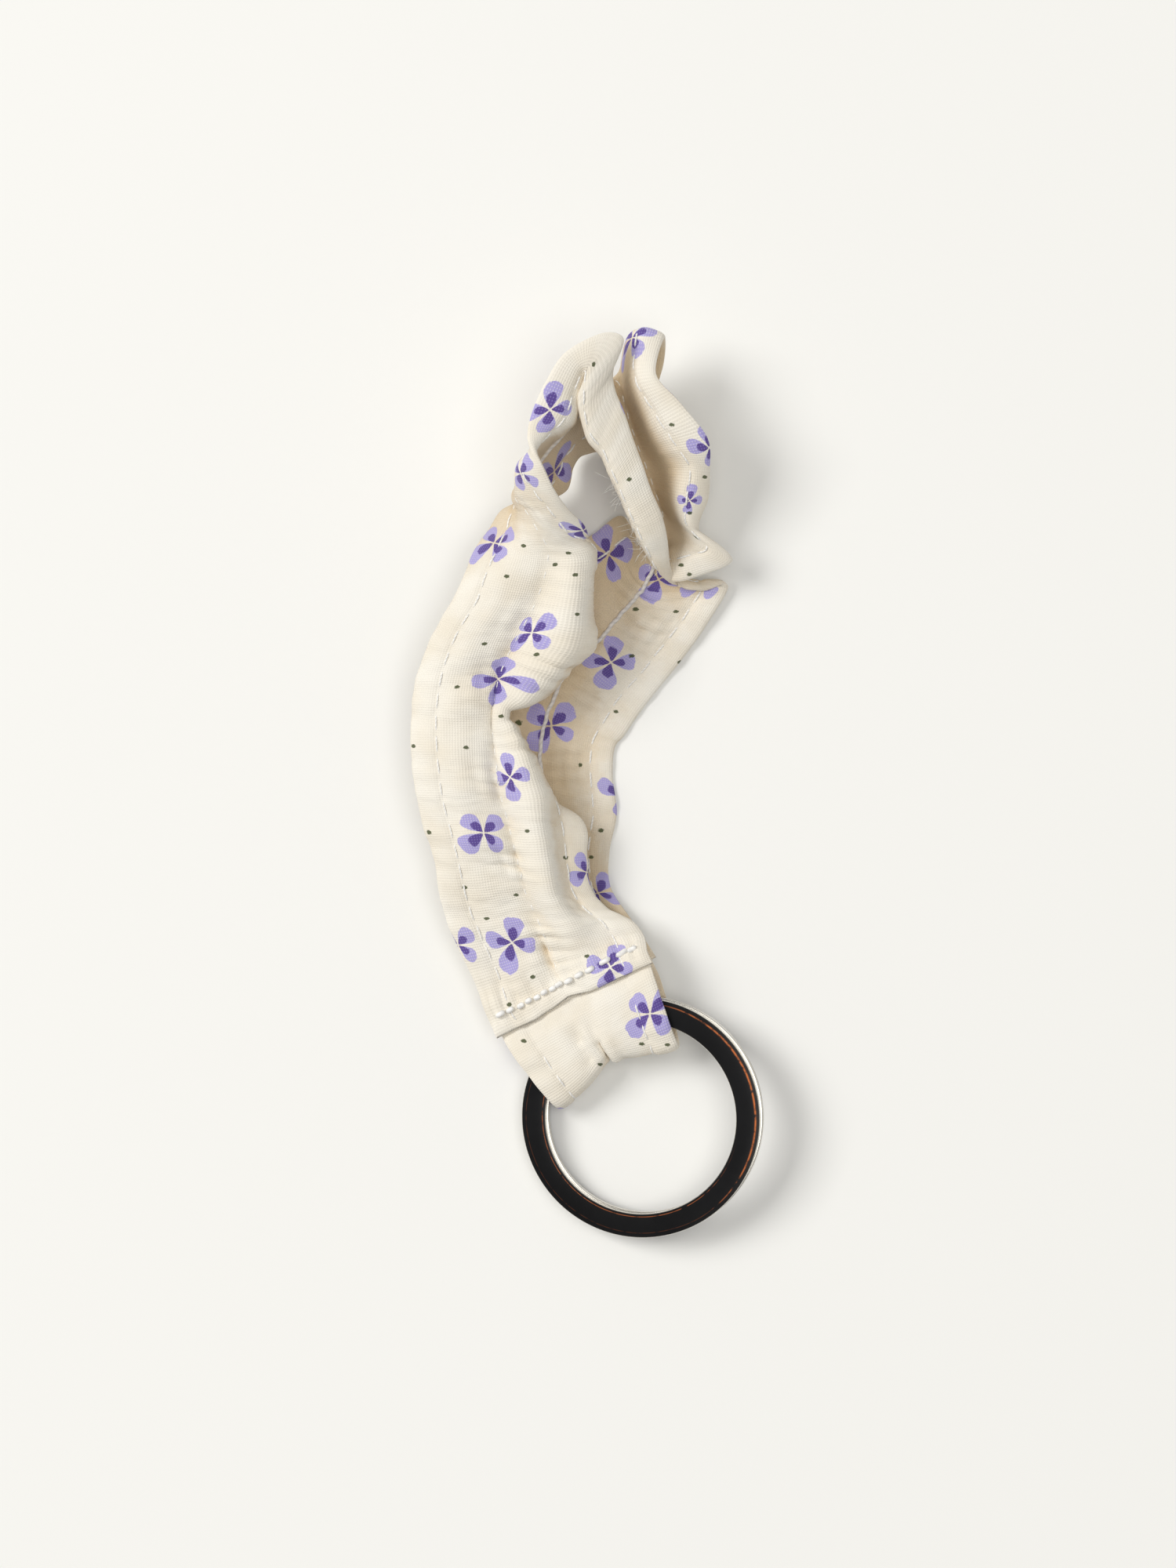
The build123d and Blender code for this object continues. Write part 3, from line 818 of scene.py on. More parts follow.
    def shows(self, u: float, v: float, reach: float) -> bool:
        """Whether a part of a motif at this chart place would be seen from above."""
        places = self.chart_of(np.arange(self.points.shape[1]))
        columns = np.abs(places - u) < reach
        rows = np.abs(self.along - v) * self.local_stretch(u, v) < reach
        patch = self.open_view[np.ix_(rows, columns)]
        enough = 0.03
        return bool(patch.size and patch.mean() > enough)

    def scatter(self, seen: Sequence[Motif], gap: float, spare: float, reach: float, seed: int) -> Array:
        """Seen motifs, and seeded ones wherever none shows.

        Args:
            seen: the motifs whose place is known.
            gap: spacing of the others.
            spare: how far the others stay from the seen ones.
            reach: half the size of one.
            seed: seed of the others.

        Returns:
            One row each: place round and along, unit lengths, turn and size.
        """
        draw = np.random.default_rng(seed)
        known = [self.locate(motif) for motif in seen]
        table = list(known)
        length = self.along[-1]
        line = 0
        for v in np.arange(-gap / 2, length + gap, gap * 0.85):
            line += 1
            for u in np.arange(-HALF_WIDTH, 3 * HALF_WIDTH, gap):
                place_u = u + (gap / 2) * (line % 2) + draw.uniform(-0.2, 0.2) * gap
                place_v = v + draw.uniform(-0.2, 0.2) * gap
                turn = draw.uniform(0, math.pi / 2)
                size = draw.uniform(0.88, 1.08)
                apart = [math.hypot(place_u - k[0], (place_v - k[1]) * k[3]) for k in known]
                if min(apart, default=1e9) > spare and not self.shows(place_u, place_v, reach):
                    table.append((place_u, place_v, 1.0, self.local_stretch(place_u, place_v), turn, size))
        return np.array(table)

    def local_stretch(self, u: float, v: float) -> float:
        """Real length of a unit along the strip at a chart place."""
        flat = u if u <= HALF_WIDTH else 2 * HALF_WIDTH - u
        column = int(np.argmin(np.abs(self.across - flat)))
        row = int(np.argmin(np.abs(self.along - v)))
        return float(self.metric[row, column, 1])

    def print_charts(self, piece: bpy.types.Object, corners_u: Array, corners_v: Array) -> None:
        """Writes the cloth, flower and speck charts of the finished mesh."""
        add_chart(piece, "cloth", np.stack([corners_u, corners_v], axis=-1))
        middle_u, middle_v = corners_u.mean(axis=1), corners_v.mean(axis=1)
        tables = {
            "flower": self.scatter(self.flowers, 10.4, 8.8, 2.6, self.seed + 40),
            "speck": self.scatter(self.specks, 5.6, 4.0, 0.7, self.seed + 41),
        }
        for name, table in tables.items():
            offset_u = middle_u[:, None] - table[None, :, 0]
            offset_v = (middle_v[:, None] - table[None, :, 1]) * table[None, :, 3]
            nearest = np.argmin(offset_u**2 + offset_v**2, axis=1)
            chosen = table[nearest]
            x = (corners_u - chosen[:, None, 0]) * chosen[:, None, 2] / chosen[:, None, 5]
            y = (corners_v - chosen[:, None, 1]) * chosen[:, None, 3] / chosen[:, None, 5]
            cos, sin = np.cos(chosen[:, None, 4]), np.sin(chosen[:, None, 4])
            add_chart(piece, name, np.stack([x * cos + y * sin, y * cos - x * sin], axis=-1))

    def build(self, material: bpy.types.Material) -> bpy.types.Object:
        """Makes the strip's mesh with its charts and its material."""
        count, around = self.points.shape[:2]
        width = len(self.across)
        quads = np.array(tube_faces(count, around, closed_ends=False))
        columns = quads % around
        turning = (columns.max(axis=1) - columns.min(axis=1)) > 2
        wrapped = np.where(turning[:, None] & (columns == 0), around, columns)
        corners_u = self.chart_of(wrapped)
        corners_v = self.along[quads // around]
        numbers = np.arange(count * around).reshape(count, around)
        for row in (0, count - 1):
            numbers[row, width:] = numbers[row, width - 2:0:-1]
        used, faces = np.unique(numbers.ravel()[quads], return_inverse=True)
        piece = new_piece(self.name, self.points.reshape(-1, 3)[used], faces.reshape(quads.shape))
        self.print_charts(piece, corners_u, corners_v)
        # painted shade: each corner's share of hidden sky goes to the cloth's colour through this chart
        painted_shade = self.painted_shade_shares().ravel()[quads]
        add_chart(piece, "painted_shade", np.stack([painted_shade, painted_shade * 0], axis=-1))
        piece.data.materials.append(material)
        return piece

    def line(self, across: float, face: Face, lift: float = 0.0) -> tuple[Array, Array]:
        """Points and outward directions on one face, all along the strip.

        Args:
            across: place across the strip.
            face: the face that is followed.
            lift: height above that face.

        Returns:
            The points and the directions.
        """
        columns = self.side_columns(face)
        places = self.across if face is Face.OUTER else self.across[::-1]
        if face is Face.INNER:
            columns = np.concatenate([columns, [0]])
        at = float(np.interp(across, self.across, np.arange(len(self.across))))
        at = at if face is Face.OUTER else len(places) - 1 - at
        low = min(int(at), len(columns) - 2)
        share = at - low
        near, far = columns[low], columns[low + 1]
        points = self.points[:, near] * (1 - share) + self.points[:, far] * share
        normals = unit(self.normals[:, near] * (1 - share) + self.normals[:, far] * share)
        return points + normals * lift, normals


# ---------------------------------------------------------------------------
# Rows of the wrist band: left edge, left topstitch, centre, right topstitch,
# right edge. None puts a topstitch on the straight line between.
# ---------------------------------------------------------------------------
TABLE = 0.37
FRONT_END = [
    [from_seam(x, y, z) for x, y, z in row]
    for row in (
        ((-11.0, 0.75, 1.7), (-7.6, 0.5, 1.75), (0.0, 0.0, 1.8), (7.6, -0.6, 2.0), (10.9, -0.86, 2.0)),
        ((-10.8, 3.3, 1.75), (-7.6, 2.9, 1.85), (0.0, 2.3, 1.9), (7.6, 1.2, 1.7), (11.0, 0.8, 1.6)),
    )
]
BACK_END = [
    [from_seam(x, -0.3, z) for x, z in ((-11.0, -1.6), (-7.6, -1.7), (0.0, -1.8), (7.6, -1.8), (11.0, -1.8))]
]
FRONT_LEG: list[Row] = [
    ((-13.9, -25.3, 3.6), None, (-4.2, -22.0, 5.2), None, (7.0, -18.9, 5.4)),
    ((-16.0, -20.8, 4.4), None, (-5.4, -18.7, 6.2), None, (5.2, -16.8, 5.0)),
    ((-17.5, -17.3, 5.0), None, (-6.6, -16.1, 6.6), None, (2.6, -15.6, 4.4)),
    ((-18.4, -14.2, 5.6), None, (-7.7, -13.6, 7.4), None, (0.6, -13.4, 4.4)),
    ((-19.1, -9.5, 6.0), (-16.0, -9.6, 7.4), (-8.6, -9.7, 8.2), None, (-0.1, -9.5, 4.4)),
    ((-20.5, -5.2, 6.5), (-17.1, -5.2, 7.9), (-9.6, -5.1, 8.8), None, (-0.6, -4.7, 4.5)),
    ((-21.3, -1.5, 6.8), (-18.0, -1.6, 8.2), (-10.4, -1.9, 9.2), (-4.5, -1.6, 5.8), (-6.0, -1.3, 3.4)),
    ((-21.8, 1.6, 7.0), (-18.4, 1.5, 8.5), (-10.9, 1.2, 9.4), (-6.1, 1.8, 5.8), (-8.2, 2.4, 3.4)),
    ((-22.0, 5.2, 7.0), (-18.7, 5.1, 8.6), (-11.2, 4.9, 9.4), (-8.5, 5.6, 5.8), (-10.4, 6.0, 3.6)),
    ((-21.9, 9.2, 7.0), (-18.7, 9.0, 8.6), (-11.4, 8.8, 9.4), (-10.4, 9.0, 5.6), (-10.2, 9.2, 3.4)),
    ((-21.4, 12.9, 7.2), (-18.2, 12.8, 8.9), (-10.9, 12.2, 9.6), (-5.5, 10.9, 5.9), (-7.6, 11.5, 3.7)),
    ((-20.0, 16.9, 7.6), (-17.1, 16.4, 9.3), (-9.8, 15.4, 10.0), (-2.1, 14.6, 6.6), (-4.4, 15.7, 4.2)),
    ((-18.4, 20.2, 8.0), (-15.7, 19.4, 9.6), (-8.3, 18.5, 10.4), (0.8, 17.2, 7.2), (-1.6, 18.6, 4.8)),
    ((-16.6, 23.2, 8.2), (-13.7, 22.6, 9.8), (-6.6, 21.7, 10.8), (0.4, 21.4, 7.8), (-2.2, 21.8, 5.4)),
    ((-15.2, 26.3, 8.0), (-12.5, 26.0, 9.9), (-5.5, 24.8, 11.2), (0.4, 25.1, 8.6), (-2.0, 25.4, 6.2)),
    ((-14.1, 29.0, 7.2), (-11.2, 28.9, 9.3), (-4.9, 28.2, 11.6), (0.8, 28.9, 9.8), (-0.4, 29.0, 7.4)),
    ((-12.3, 31.6, 5.6), (-10.0, 31.4, 8.2), (-5.9, 31.1, 12.4), (-2.7, 31.3, 12.7), (-0.3, 31.7, 11.9)),
]
HALF_TWIST: list[Row] = [
    ((-10.6, 33.9, 4.6), (-9.2, 33.9, 7.4), (-7.4, 33.6, 12.2), (-4.5, 33.7, 14.3), (-2.5, 33.9, 14.6)),
    ((-5.8, 35.2, 2.6), (-7.8, 35.7, 4.8), (-9.0, 36.2, 10.6), (-6.7, 36.4, 15.6), (-4.3, 36.4, 16.8)),
    ((-2.7, 36.7, 1.8), (-4.5, 37.6, 3.8), (-7.2, 38.7, 9.6), (-8.0, 39.3, 16.4), (-5.7, 39.4, 18.2)),
    ((-2.0, 39.3, 1.4), (-3.1, 40.6, 3.8), (-5.0, 41.8, 9.4), (-5.2, 42.8, 16.4), (-7.4, 42.4, 17.8)),
    ((-1.2, 40.8, 1.1), (-1.8, 42.4, 3.6), (-2.9, 43.9, 9.2), (-3.0, 44.9, 15.8), (-6.9, 45.6, 16.6)),
    ((0.4, 41.4, 1.0), (-0.4, 43.5, 3.4), (-1.5, 46.0, 8.8), (-2.0, 47.9, 15.2), (-5.3, 49.3, 16.2)),
]
ARCH: list[Row] = [
    ((2.1, 41.8, 1.0), (1.2, 45.0, 3.2), (-0.6, 48.2, 8.4), (-0.9, 50.6, 15.0), (-3.0, 52.9, 15.6)),
    ((5.6, 43.6, 1.4), (3.8, 46.0, 3.6), (1.2, 49.2, 7.8), (-0.1, 50.8, 15.2), (0.8, 55.2, 15.0)),
    ((9.2, 51.4, 6.0), (6.6, 52.4, 5.8), (3.0, 50.0, 7.0), (-0.5, 48.4, 15.4), (4.4, 54.8, 14.6)),
    ((9.5, 55.3, 11.4), (6.2, 56.0, 11.6), (3.9, 49.4, 6.6), (-0.4, 45.6, 14.8), (3.2, 51.4, 14.2)),
]
RIGHT_LEG: list[Row] = [
    ((8.4, 50.6, 13.6), (5.9, 50.4, 12.6), (4.6, 46.6, 6.2), (0.4, 43.0, 14.2), (3.3, 48.8, 14.0)),
    ((11.2, 47.2, 13.6), (8.5, 45.6, 12.4), (5.5, 44.0, 5.8), (1.9, 41.2, 13.6), (4.5, 45.8, 13.6)),
    ((14.8, 42.6, 12.4), (11.0, 41.8, 11.6), (6.4, 41.4, 5.3), (2.9, 38.9, 13.2), (5.5, 42.8, 13.2)),
    ((15.1, 39.0, 9.8), (12.6, 39.2, 10.6), (7.3, 39.2, 5.0), (3.9, 36.7, 12.6), (6.7, 39.6, 12.6)),
    ((14.9, 35.4, 8.0), (12.2, 35.2, 9.2), (8.2, 36.6, 4.7), (4.9, 34.4, 11.8), (7.8, 36.4, 11.8)),
    ((13.8, 31.4, 7.0), (12.2, 32.4, 8.0), (9.0, 34.2, 4.5), (6.1, 31.7, 10.8), (9.1, 33.4, 10.6)),
    ((18.0, 27.8, 5.6), (14.8, 29.4, 6.8), (9.5, 31.8, 4.4), (7.2, 29.4, 9.4), (9.9, 30.0, 8.8)),
    ((14.2, 26.0, 5.4), (13.0, 28.6, 6.2), (9.6, 29.8, 4.0), (8.3, 27.4, 7.2), (10.2, 27.4, 6.6)),
    ((10.3, 25.3, 4.6), (10.4, 28.0, 5.2), (9.2, 28.6, 3.4), (9.4, 26.2, 5.0), (11.2, 25.0, 3.6)),
]
BACK_LEG: list[Row] = [
    ((6.2, 30.6, 2.6), None, (8.4, 27.3, 2.6), None, (14.6, 24.2, 2.4)),
    ((4.5, 33.4, 1.6), None, (7.5, 25.6, 1.8), None, (17.4, 24.9, 1.6)),
    ((0.6, 31.2, 1.1), None, (6.2, 23.6, 1.3), None, (14.9, 20.0, 1.0)),
    ((-3.8, 28.6, 0.8), None, (3.9, 21.0, 0.9), None, (12.0, 15.9, 0.7)),
    ((-7.3, 24.4, 0.5), None, (1.2, 17.7, 0.5), None, (8.8, 11.9, 0.5)),
    ((-10.6, 21.2, TABLE), None, (-2.0, 14.9, TABLE), None, (6.4, 8.8, TABLE)),
    ((-14.0, 15.6, TABLE), None, (-4.2, 11.0, TABLE), None, (4.6, 6.1, TABLE)),
    ((-16.2, 9.4, TABLE), None, (-5.6, 7.2, TABLE), None, (3.4, 4.6, TABLE)),
    ((-16.8, 3.0, TABLE), None, (-6.0, 2.6, TABLE), None, (3.1, 0.8, TABLE)),
    ((-16.8, -2.4, TABLE), None, (-5.9, -2.2, TABLE), None, (3.6, -3.6, TABLE)),
    ((-16.4, -8.0, TABLE), None, (-5.8, -7.6, TABLE), None, (2.7, -8.4, TABLE)),
    ((-15.0, -14.6, 0.6), None, (-4.6, -13.0, 0.9), None, (2.8, -12.8, 1.0)),
    ((-13.7, -20.8, 0.8), None, (-3.2, -18.2, 1.5), None, (5.2, -16.6, 2.2)),
    ((-12.6, -26.0, 0.9), None, (-2.4, -22.2, 2.1), None, (6.8, -18.9, 3.3)),
]


def full_row(row: Row) -> list[Array]:
    """A row of five points, with the topstitches that the table leaves out."""
    places = [None if point is None else np.array(point) for point in row]
    left, left_seam, centre, right_seam, right = places
    share = HEM / HALF_WIDTH
    if left_seam is None:
        left_seam = left + (centre - left) * share
    if right_seam is None:
        right_seam = right + (centre - right) * share
    return [left, left_seam, centre, right_seam, right]


def band_rows() -> Array:
    """Every row of the wrist band, from the front of the closing seam to its back."""
    table = FRONT_LEG + HALF_TWIST + ARCH + RIGHT_LEG + BACK_LEG
    return np.array(FRONT_END + [full_row(row) for row in table] + BACK_END)


def tab_rows() -> Array:
    """Rows of the tab: its bottom leg, its fold round the ring, its top leg."""
    depths = (
        (2.6, 0.42), (1.3, 0.58), (0.2, 0.85), (-0.9, 1.25), (-1.9, 1.62), (-3.4, 1.80),
        (-5.0, 1.84), (-6.6, 1.80), (-7.9, 1.62), (-9.0, 1.30), (-9.7, 0.80), (-10.0, 0.0),
    )
    bend, deepest = -5.0, 10.0
    rails = (
        (10.95, (-10.5, -8.8)), (10.7, (-7.1, -6.2)), (8.75, (0.0, 0.1)), (10.5, (7.0, 5.3)), (11.3, (10.5, 8.5)),
    )
    rows = []
    for side in (-1, 1):
        order = depths if side < 0 else depths[-2::-1]
        for y, z in order:
            row = []
            for fold, (wide, narrow) in rails:
                share = min(-y / deepest, 1.0) if y < 0 else 0.0
                depth = y if y > bend else bend + (y - bend) * (fold + bend) / (deepest + bend)
                row.append(from_seam(wide + (narrow - wide) * share**1.4, depth, side * z))
            rows.append(row)
    return np.array(rows)


BAND_FLOWERS = (
    Motif(-11.2, 13.1, Face.OUTER, 8, 16, 80, 0.86),
    Motif(-7.3, 18.7, Face.OUTER, 10, 18, 35, 0.92),
    Motif(-11.8, 30.0, Face.OUTER, 14, 18.5, 25, 0.98),
    Motif(-0.4, 31.0, Face.OUTER, 15, 19, 60, 0.9),
    Motif(-8.4, 38.0, Face.OUTER, 18.5, 23, 70, 0.85),
    Motif(-9.7, 0.9, Face.OUTER, 6, 12, 100, 0.85),
    Motif(-12.7, -5.9, Face.OUTER, 5, 10, 42, 0.98),
    Motif(-9.2, -19.6, Face.OUTER, 1, 6, 82, 1.04),
    Motif(-16.2, -20.0, Face.OUTER, 1, 6, 50, 0.95),
    Motif(2.8, -22.4, Face.OUTER, 0, 4, 80, 1.0),
    Motif(-22.4, 7.0, Face.INNER, 9, 14, 20, 0.9, -10.2, -8.9),
    Motif(0.0, -11.0, Face.OUTER, 3, 9, 40, 0.8),
    Motif(-4.6, 45.8, Face.INNER, 20, 26, 82, 1.0),
    Motif(-3.9, 38.6, Face.INNER, 18.5, 24, 65, 1.25),
    Motif(5.0, 45.4, Face.OUTER, 28, 33, 45, 0.9, 9.0, 9.6),
    Motif(15.2, 41.4, Face.OUTER, 29, 35, 20, 0.95),
    Motif(12.4, 35.0, Face.OUTER, 31, 36, 80, 0.55),
    Motif(5.4, 55.0, Face.OUTER, 26, 30, 50, 0.95, right=-5.0),
    Motif(11.8, 47.4, Face.INNER, 28, 33, 30, 0.9, right=-9.9),
    Motif(2.6, 28.6, Face.INNER, 37, 43, 15, 1.12),
    Motif(8.7, 25.6, Face.INNER, 37.5, 43, 70, 1.0),
    Motif(3.1, 15.1, Face.INNER, 40, 46, 78, 1.0),
    Motif(-4.6, 7.1, Face.INNER, 43, 48, 50, 1.0),
    Motif(1.2, -13.6, Face.INNER, 46, 52, 70, 0.9),
    Motif(3.4, -0.9, Face.OUTER, 45, 50, 10, 0.9, 9.2, 10.0),
    Motif(14.6, 25.4, Face.INNER, 37, 42, 30, 0.8),
)
FRONT_SPECKS = (
    (-8, 29.5), (-2.3, 28.5), (-4.1, 27), (-1.5, 25.7), (-9.9, 25.5), (-1.6, 20.9), (-12.9, 17.3), (-6.2, 16),
    (-16.2, 12.2), (-14.8, 4.6), (-21.8, 4.6), (-20, -6.2), (-7.6, -5.9), (-2.8, -9.1), (-15.3, -12.8),
    (-8.9, -13.9), (-12.5, -16.7), (-7.1, -24), (-0.6, -21.2), (-9.8, -27.7), (-10.8, 8.4),
)
BACK_SPECKS = (
    (5.7, 21.8), (11, 21.3), (5.4, 16.1), (11.7, 15), (3.6, 9), (-9, 7.5), (-1, 2.4), (1.5, -5.8), (0.4, -9.2),
)
RIGHT_SPECKS = ((10.3, 44), (14.4, 38), (12.6, 33.6), (13.4, 30.4), (11.6, 27.1), (12.4, 26.0))
STRIP_SPECKS = ((5.1, 37.7), (5.1, 52.1), (0.9, 51.8))
BAND_SPECKS = (
    tuple(Motif(x, y, Face.OUTER, 0, 19) for x, y in FRONT_SPECKS)
    + tuple(Motif(x, y, Face.INNER, 38, 52) for x, y in BACK_SPECKS)
    + tuple(Motif(x, y, Face.OUTER, 28, 38) for x, y in RIGHT_SPECKS)
    + tuple(Motif(x, y, Face.INNER, 24, 36) for x, y in STRIP_SPECKS)
)
TAB_FLOWERS = (
    Motif(7.5, -28.6, Face.OUTER, 13, 22, 48, 1.08),
    Motif(-10.0, -33.6, Face.INNER, 13, 20, 20, 1.0, -9.8, -8.6),
    Motif(-6.0, -39.4, Face.OUTER, 7.6, 9.6, 45, 0.95),
)
TAB_SPECKS = tuple(
    Motif(x, y, Face.OUTER, 12, 22) for x, y in ((-8.1, -31.9), (1.8, -35.3), (6.5, -32.5), (9.8, -32.6))
)


# ---------------------------------------------------------------------------
# Threads
# ---------------------------------------------------------------------------


class Threads:
    """Gathers short or long round threads into one mesh."""

    def __init__(self, name: str, sides: int = 6) -> None:
        """Starts with no thread."""
        self.name = name
        self.sides = sides
        self.points: list[Array] = []
        self.faces: list[list[int]] = []
        self.charts: list[Array] = []
        self.count = 0

    def add(self, path: Array, radius: float, flat: float = 1.0, ups: Array | None = None) -> None:
        """Adds one thread with rounded ends.

        Args:
            path: points along it, in order.
            radius: its radius across.
            flat: height for each unit of width.
            ups: upward direction at each point.
        """
        lengths = np.concatenate([[0.0], np.cumsum(np.linalg.norm(np.diff(path, axis=0), axis=1))])
        ahead = unit(np.gradient(path, axis=0))
        if ups is None:
            ups = np.tile(np.array([0.0, 0.0, 1.0]), (len(path), 1))
        aside = unit(np.cross(ahead, ups))
        above = np.cross(aside, ahead)
        from_end = np.minimum(lengths, lengths[-1] - lengths)
        taper = np.sqrt(np.clip(1 - (1 - np.clip(from_end / radius, 0, 1)) ** 2, 0.03, 1))
        turn = 2 * math.pi * np.arange(self.sides) / self.sides
        ring = aside[:, None] * np.cos(turn)[None, :, None]
        ring = ring + above[:, None] * (np.sin(turn)[None, :, None] * flat)
        body = path[:, None] + ring * (radius * taper)[:, None, None]
        faces = tube_faces(len(path), self.sides)
        for face in faces:
            corners = []
            for corner in face:
                side = corner % self.sides
                corners.append((side / self.sides, lengths[corner // self.sides]))
            if len(face) == 4 and face[0] % self.sides == self.sides - 1:
                corners = [(1.0 if share == 0.0 else share, place) for share, place in corners]
            self.charts.append(np.array(corners))
        self.faces += [[corner + self.count for corner in face] for face in faces]
        self.points.append(body.reshape(-1, 3))
        self.count += body.shape[0] * body.shape[1]

    def build(self, material: bpy.types.Material) -> bpy.types.Object:
        """Makes the mesh and dresses it."""
        piece = new_piece(self.name, np.concatenate(self.points), self.faces)
        add_chart(piece, "thread", np.concatenate(self.charts))
        piece.data.materials.append(material)
        return piece


@dataclass(frozen=True)
class Stitch:
    """A running stitch: distance to the next one, length and the thread's radius."""

    pitch: float
    length: float
    radius: float


TOPSTITCH = Stitch(2.75, 2.3, 0.13)
GATHERING_STITCH = Stitch(2.2, 1.3, 0.085)
TO_THE_END = 1e9


def stitches_along(
    threads: Threads, line: tuple[Array, Array], stitch: Stitch, span: tuple[float, float], seed: int
) -> None:
    """Lays a row of stitches on a line of the cloth.

    Args:
        threads: where they are added.
        line: points and outward directions.
        stitch: the kind of stitch.
        span: distances along the line between which it is stitched.
        seed: seed of the small unevenness.
    """
    draw = np.random.default_rng(seed)
    points, normals = line
    lengths = np.concatenate([[0.0], np.cumsum(np.linalg.norm(np.diff(points, axis=0), axis=1))])
    last = min(span[1], lengths[-1])
    radius = stitch.radius
    share = np.linspace(0, 1, 6)
    for start in np.arange(span[0], last - stitch.length, stitch.pitch):
        reach = stitch.length * draw.uniform(0.9, 1.08)
        places = np.clip(start + share * reach, 0, lengths[-1])
        path = np.stack([np.interp(places, lengths, points[:, axis]) for axis in range(3)], axis=1)
        ups = unit(np.stack([np.interp(places, lengths, normals[:, axis]) for axis in range(3)], axis=1))
        arch = np.sin(math.pi * share)[:, None]
        path = path + ups * (arch * radius * 1.1 - radius * 0.5)
        path[:, 2] = np.maximum(path[:, 2], radius + FLOOR_GAP)
        threads.add(path, radius, 0.8, ups)


# ---------------------------------------------------------------------------
# Sub-assemblies
# ---------------------------------------------------------------------------


@dataclass
class WristLoop:
    """The gathered loop with its stitching and its elastic."""

    cotton: bpy.types.Material
    topstitch: bpy.types.Material
    elastic: bpy.types.Material
    closing: bpy.types.Material
    elastic_radius: float = 0.26
    closing_radius: float = 0.34
    fibre_radius: float = 0.022
    fibres: int = 44
    flat_size: tuple[float, float] = (0.022, 0.225)
    band: "BandStrip" = field(init=False)

    def build(self) -> list[bpy.types.Object]:
        """Builds every piece of the loop."""
        self.band = BandStrip(band_rows(), "band_cloth", 11, flowers=BAND_FLOWERS, specks=BAND_SPECKS)
        pieces = [self.cloth(), *self.topstitching(), self.gathering()]
        return pieces + [self.gathering_elastic(), self.closing_row(), self.loose_fibres()]

    def cloth(self) -> bpy.types.Object:
        """The two layers and their folded ends, in one skin."""
        piece = self.band.build(self.cotton)
        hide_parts("outer_ply", "inner_ply", "closing_hem")
        sew_across_seam(piece)
        return piece

    def topstitching(self) -> list[bpy.types.Object]:
        """The two lines of stitches that hold the hems, on both faces."""
        pieces = []
        for seed, (side, across) in enumerate(SIDES):
            threads = Threads(f"{side}_topstitching")
            for face in Face:
                line = self.band.line(across, face)
                stitches_along(threads, line, TOPSTITCH, (0.9, TO_THE_END), 60 + seed * 2 + face.value)
            piece = threads.build(self.topstitch)
            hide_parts(f"{side}_topstitch")
            sew_across_seam(piece)
            pieces.append(piece)
        return pieces

    def gathering(self) -> bpy.types.Object:
        """Small loops of thread where the elastic is caught, on the outer face."""
        threads = Threads("gathering_stitches")
        line = self.band.line(0.0, Face.OUTER, -0.05)
        stitches_along(threads, line, GATHERING_STITCH, (4.0, TO_THE_END), 71)
        piece = threads.build(self.topstitch)
        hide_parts("centre_stitching")
        sew_across_seam(piece)
        return piece

    def gathering_elastic(self) -> bpy.types.Object:
        """The elastic thread along the middle of the inner face."""
        points, normals = self.band.line(0.0, Face.INNER, 0.12)
        smooth = averaged(points, 7)
        smooth[:, 2] = np.maximum(smooth[:, 2], self.elastic_radius + 0.03)
        aside = np.cross(normals, unit(np.gradient(smooth, axis=0)))
        smooth = smooth + aside * (0.13 * ripple(self.band.along, (2.1, 3.4, 5.2), 23))[:, None]
        threads = Threads("elastic_thread", sides=8)
        threads.add(smooth[4:-4], self.elastic_radius, 1.0, normals[4:-4])
        piece = threads.build(self.elastic)
        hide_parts("gathering_elastic")
        sew_across_seam(piece)
        return piece

    def closing_row(self) -> bpy.types.Object:
        """The thick doubled stitches that close the strip."""
        threads = Threads("closing_thread", sides=8)
        draw = np.random.default_rng(5)
        places = (-9.0, -7.7, -6.3, -5.1, -4.0, -2.9, -1.8, -0.8, 0.5, 2.1, 3.6, 5.7, 8.0, 9.4)
        gaps = np.gradient(np.array(places))
        for x, gap in zip(places, gaps):
            y = 2.75 - 0.65 * (x + 9.1) / 18.6 + draw.uniform(-0.14, 0.14)
            reach = gap * draw.uniform(0.72, 0.95)
            share = np.linspace(-0.5, 0.5, 9)
            wanted = [from_seam(x + s * reach, y + 0.10 * s, 0.0) for s in share]
            path = np.array([self.on_top(spot) for spot in wanted])
            path = path + RING_NORMAL * (0.24 * np.cos(math.pi * share)[:, None] + 0.06)
            threads.add(path, self.closing_radius, 0.9, np.tile(RING_NORMAL, (9, 1)))
        piece = threads.build(self.closing)
        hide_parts("closing_stitches")
        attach(piece, "wrist_loop")
        return piece

    def loose_fibres(self) -> bpy.types.Object:
        """Frayed ends that stand off the fold of the right hem, near the foot of the right leg."""
        threads = Threads("loose_fibres", sides=4)
        draw = np.random.default_rng(17)
        points, normals = self.band.line(7.2, Face.INNER)
        rows = np.where((self.band.stations > 31.5) & (self.band.stations < 36.8))[0]
        for row in draw.choice(rows, self.fibres):
            root = points[row] - normals[row] * 0.05
            aim = unit(normals[row] * 0.5 + np.array([-0.5, -0.35, 0.15]) + draw.normal(0, 0.5, 3))
            bend = draw.normal(0, 0.6, 3)
            reach = draw.uniform(0.6, 2.0)
            share = np.linspace(0, 1, 7)[:, None]
            path = root + aim * share * reach + bend * share**2 * reach * 0.5
            threads.add(path, self.fibre_radius)
        piece = threads.build(self.topstitch)
        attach(piece, "wrist_loop")
        return piece

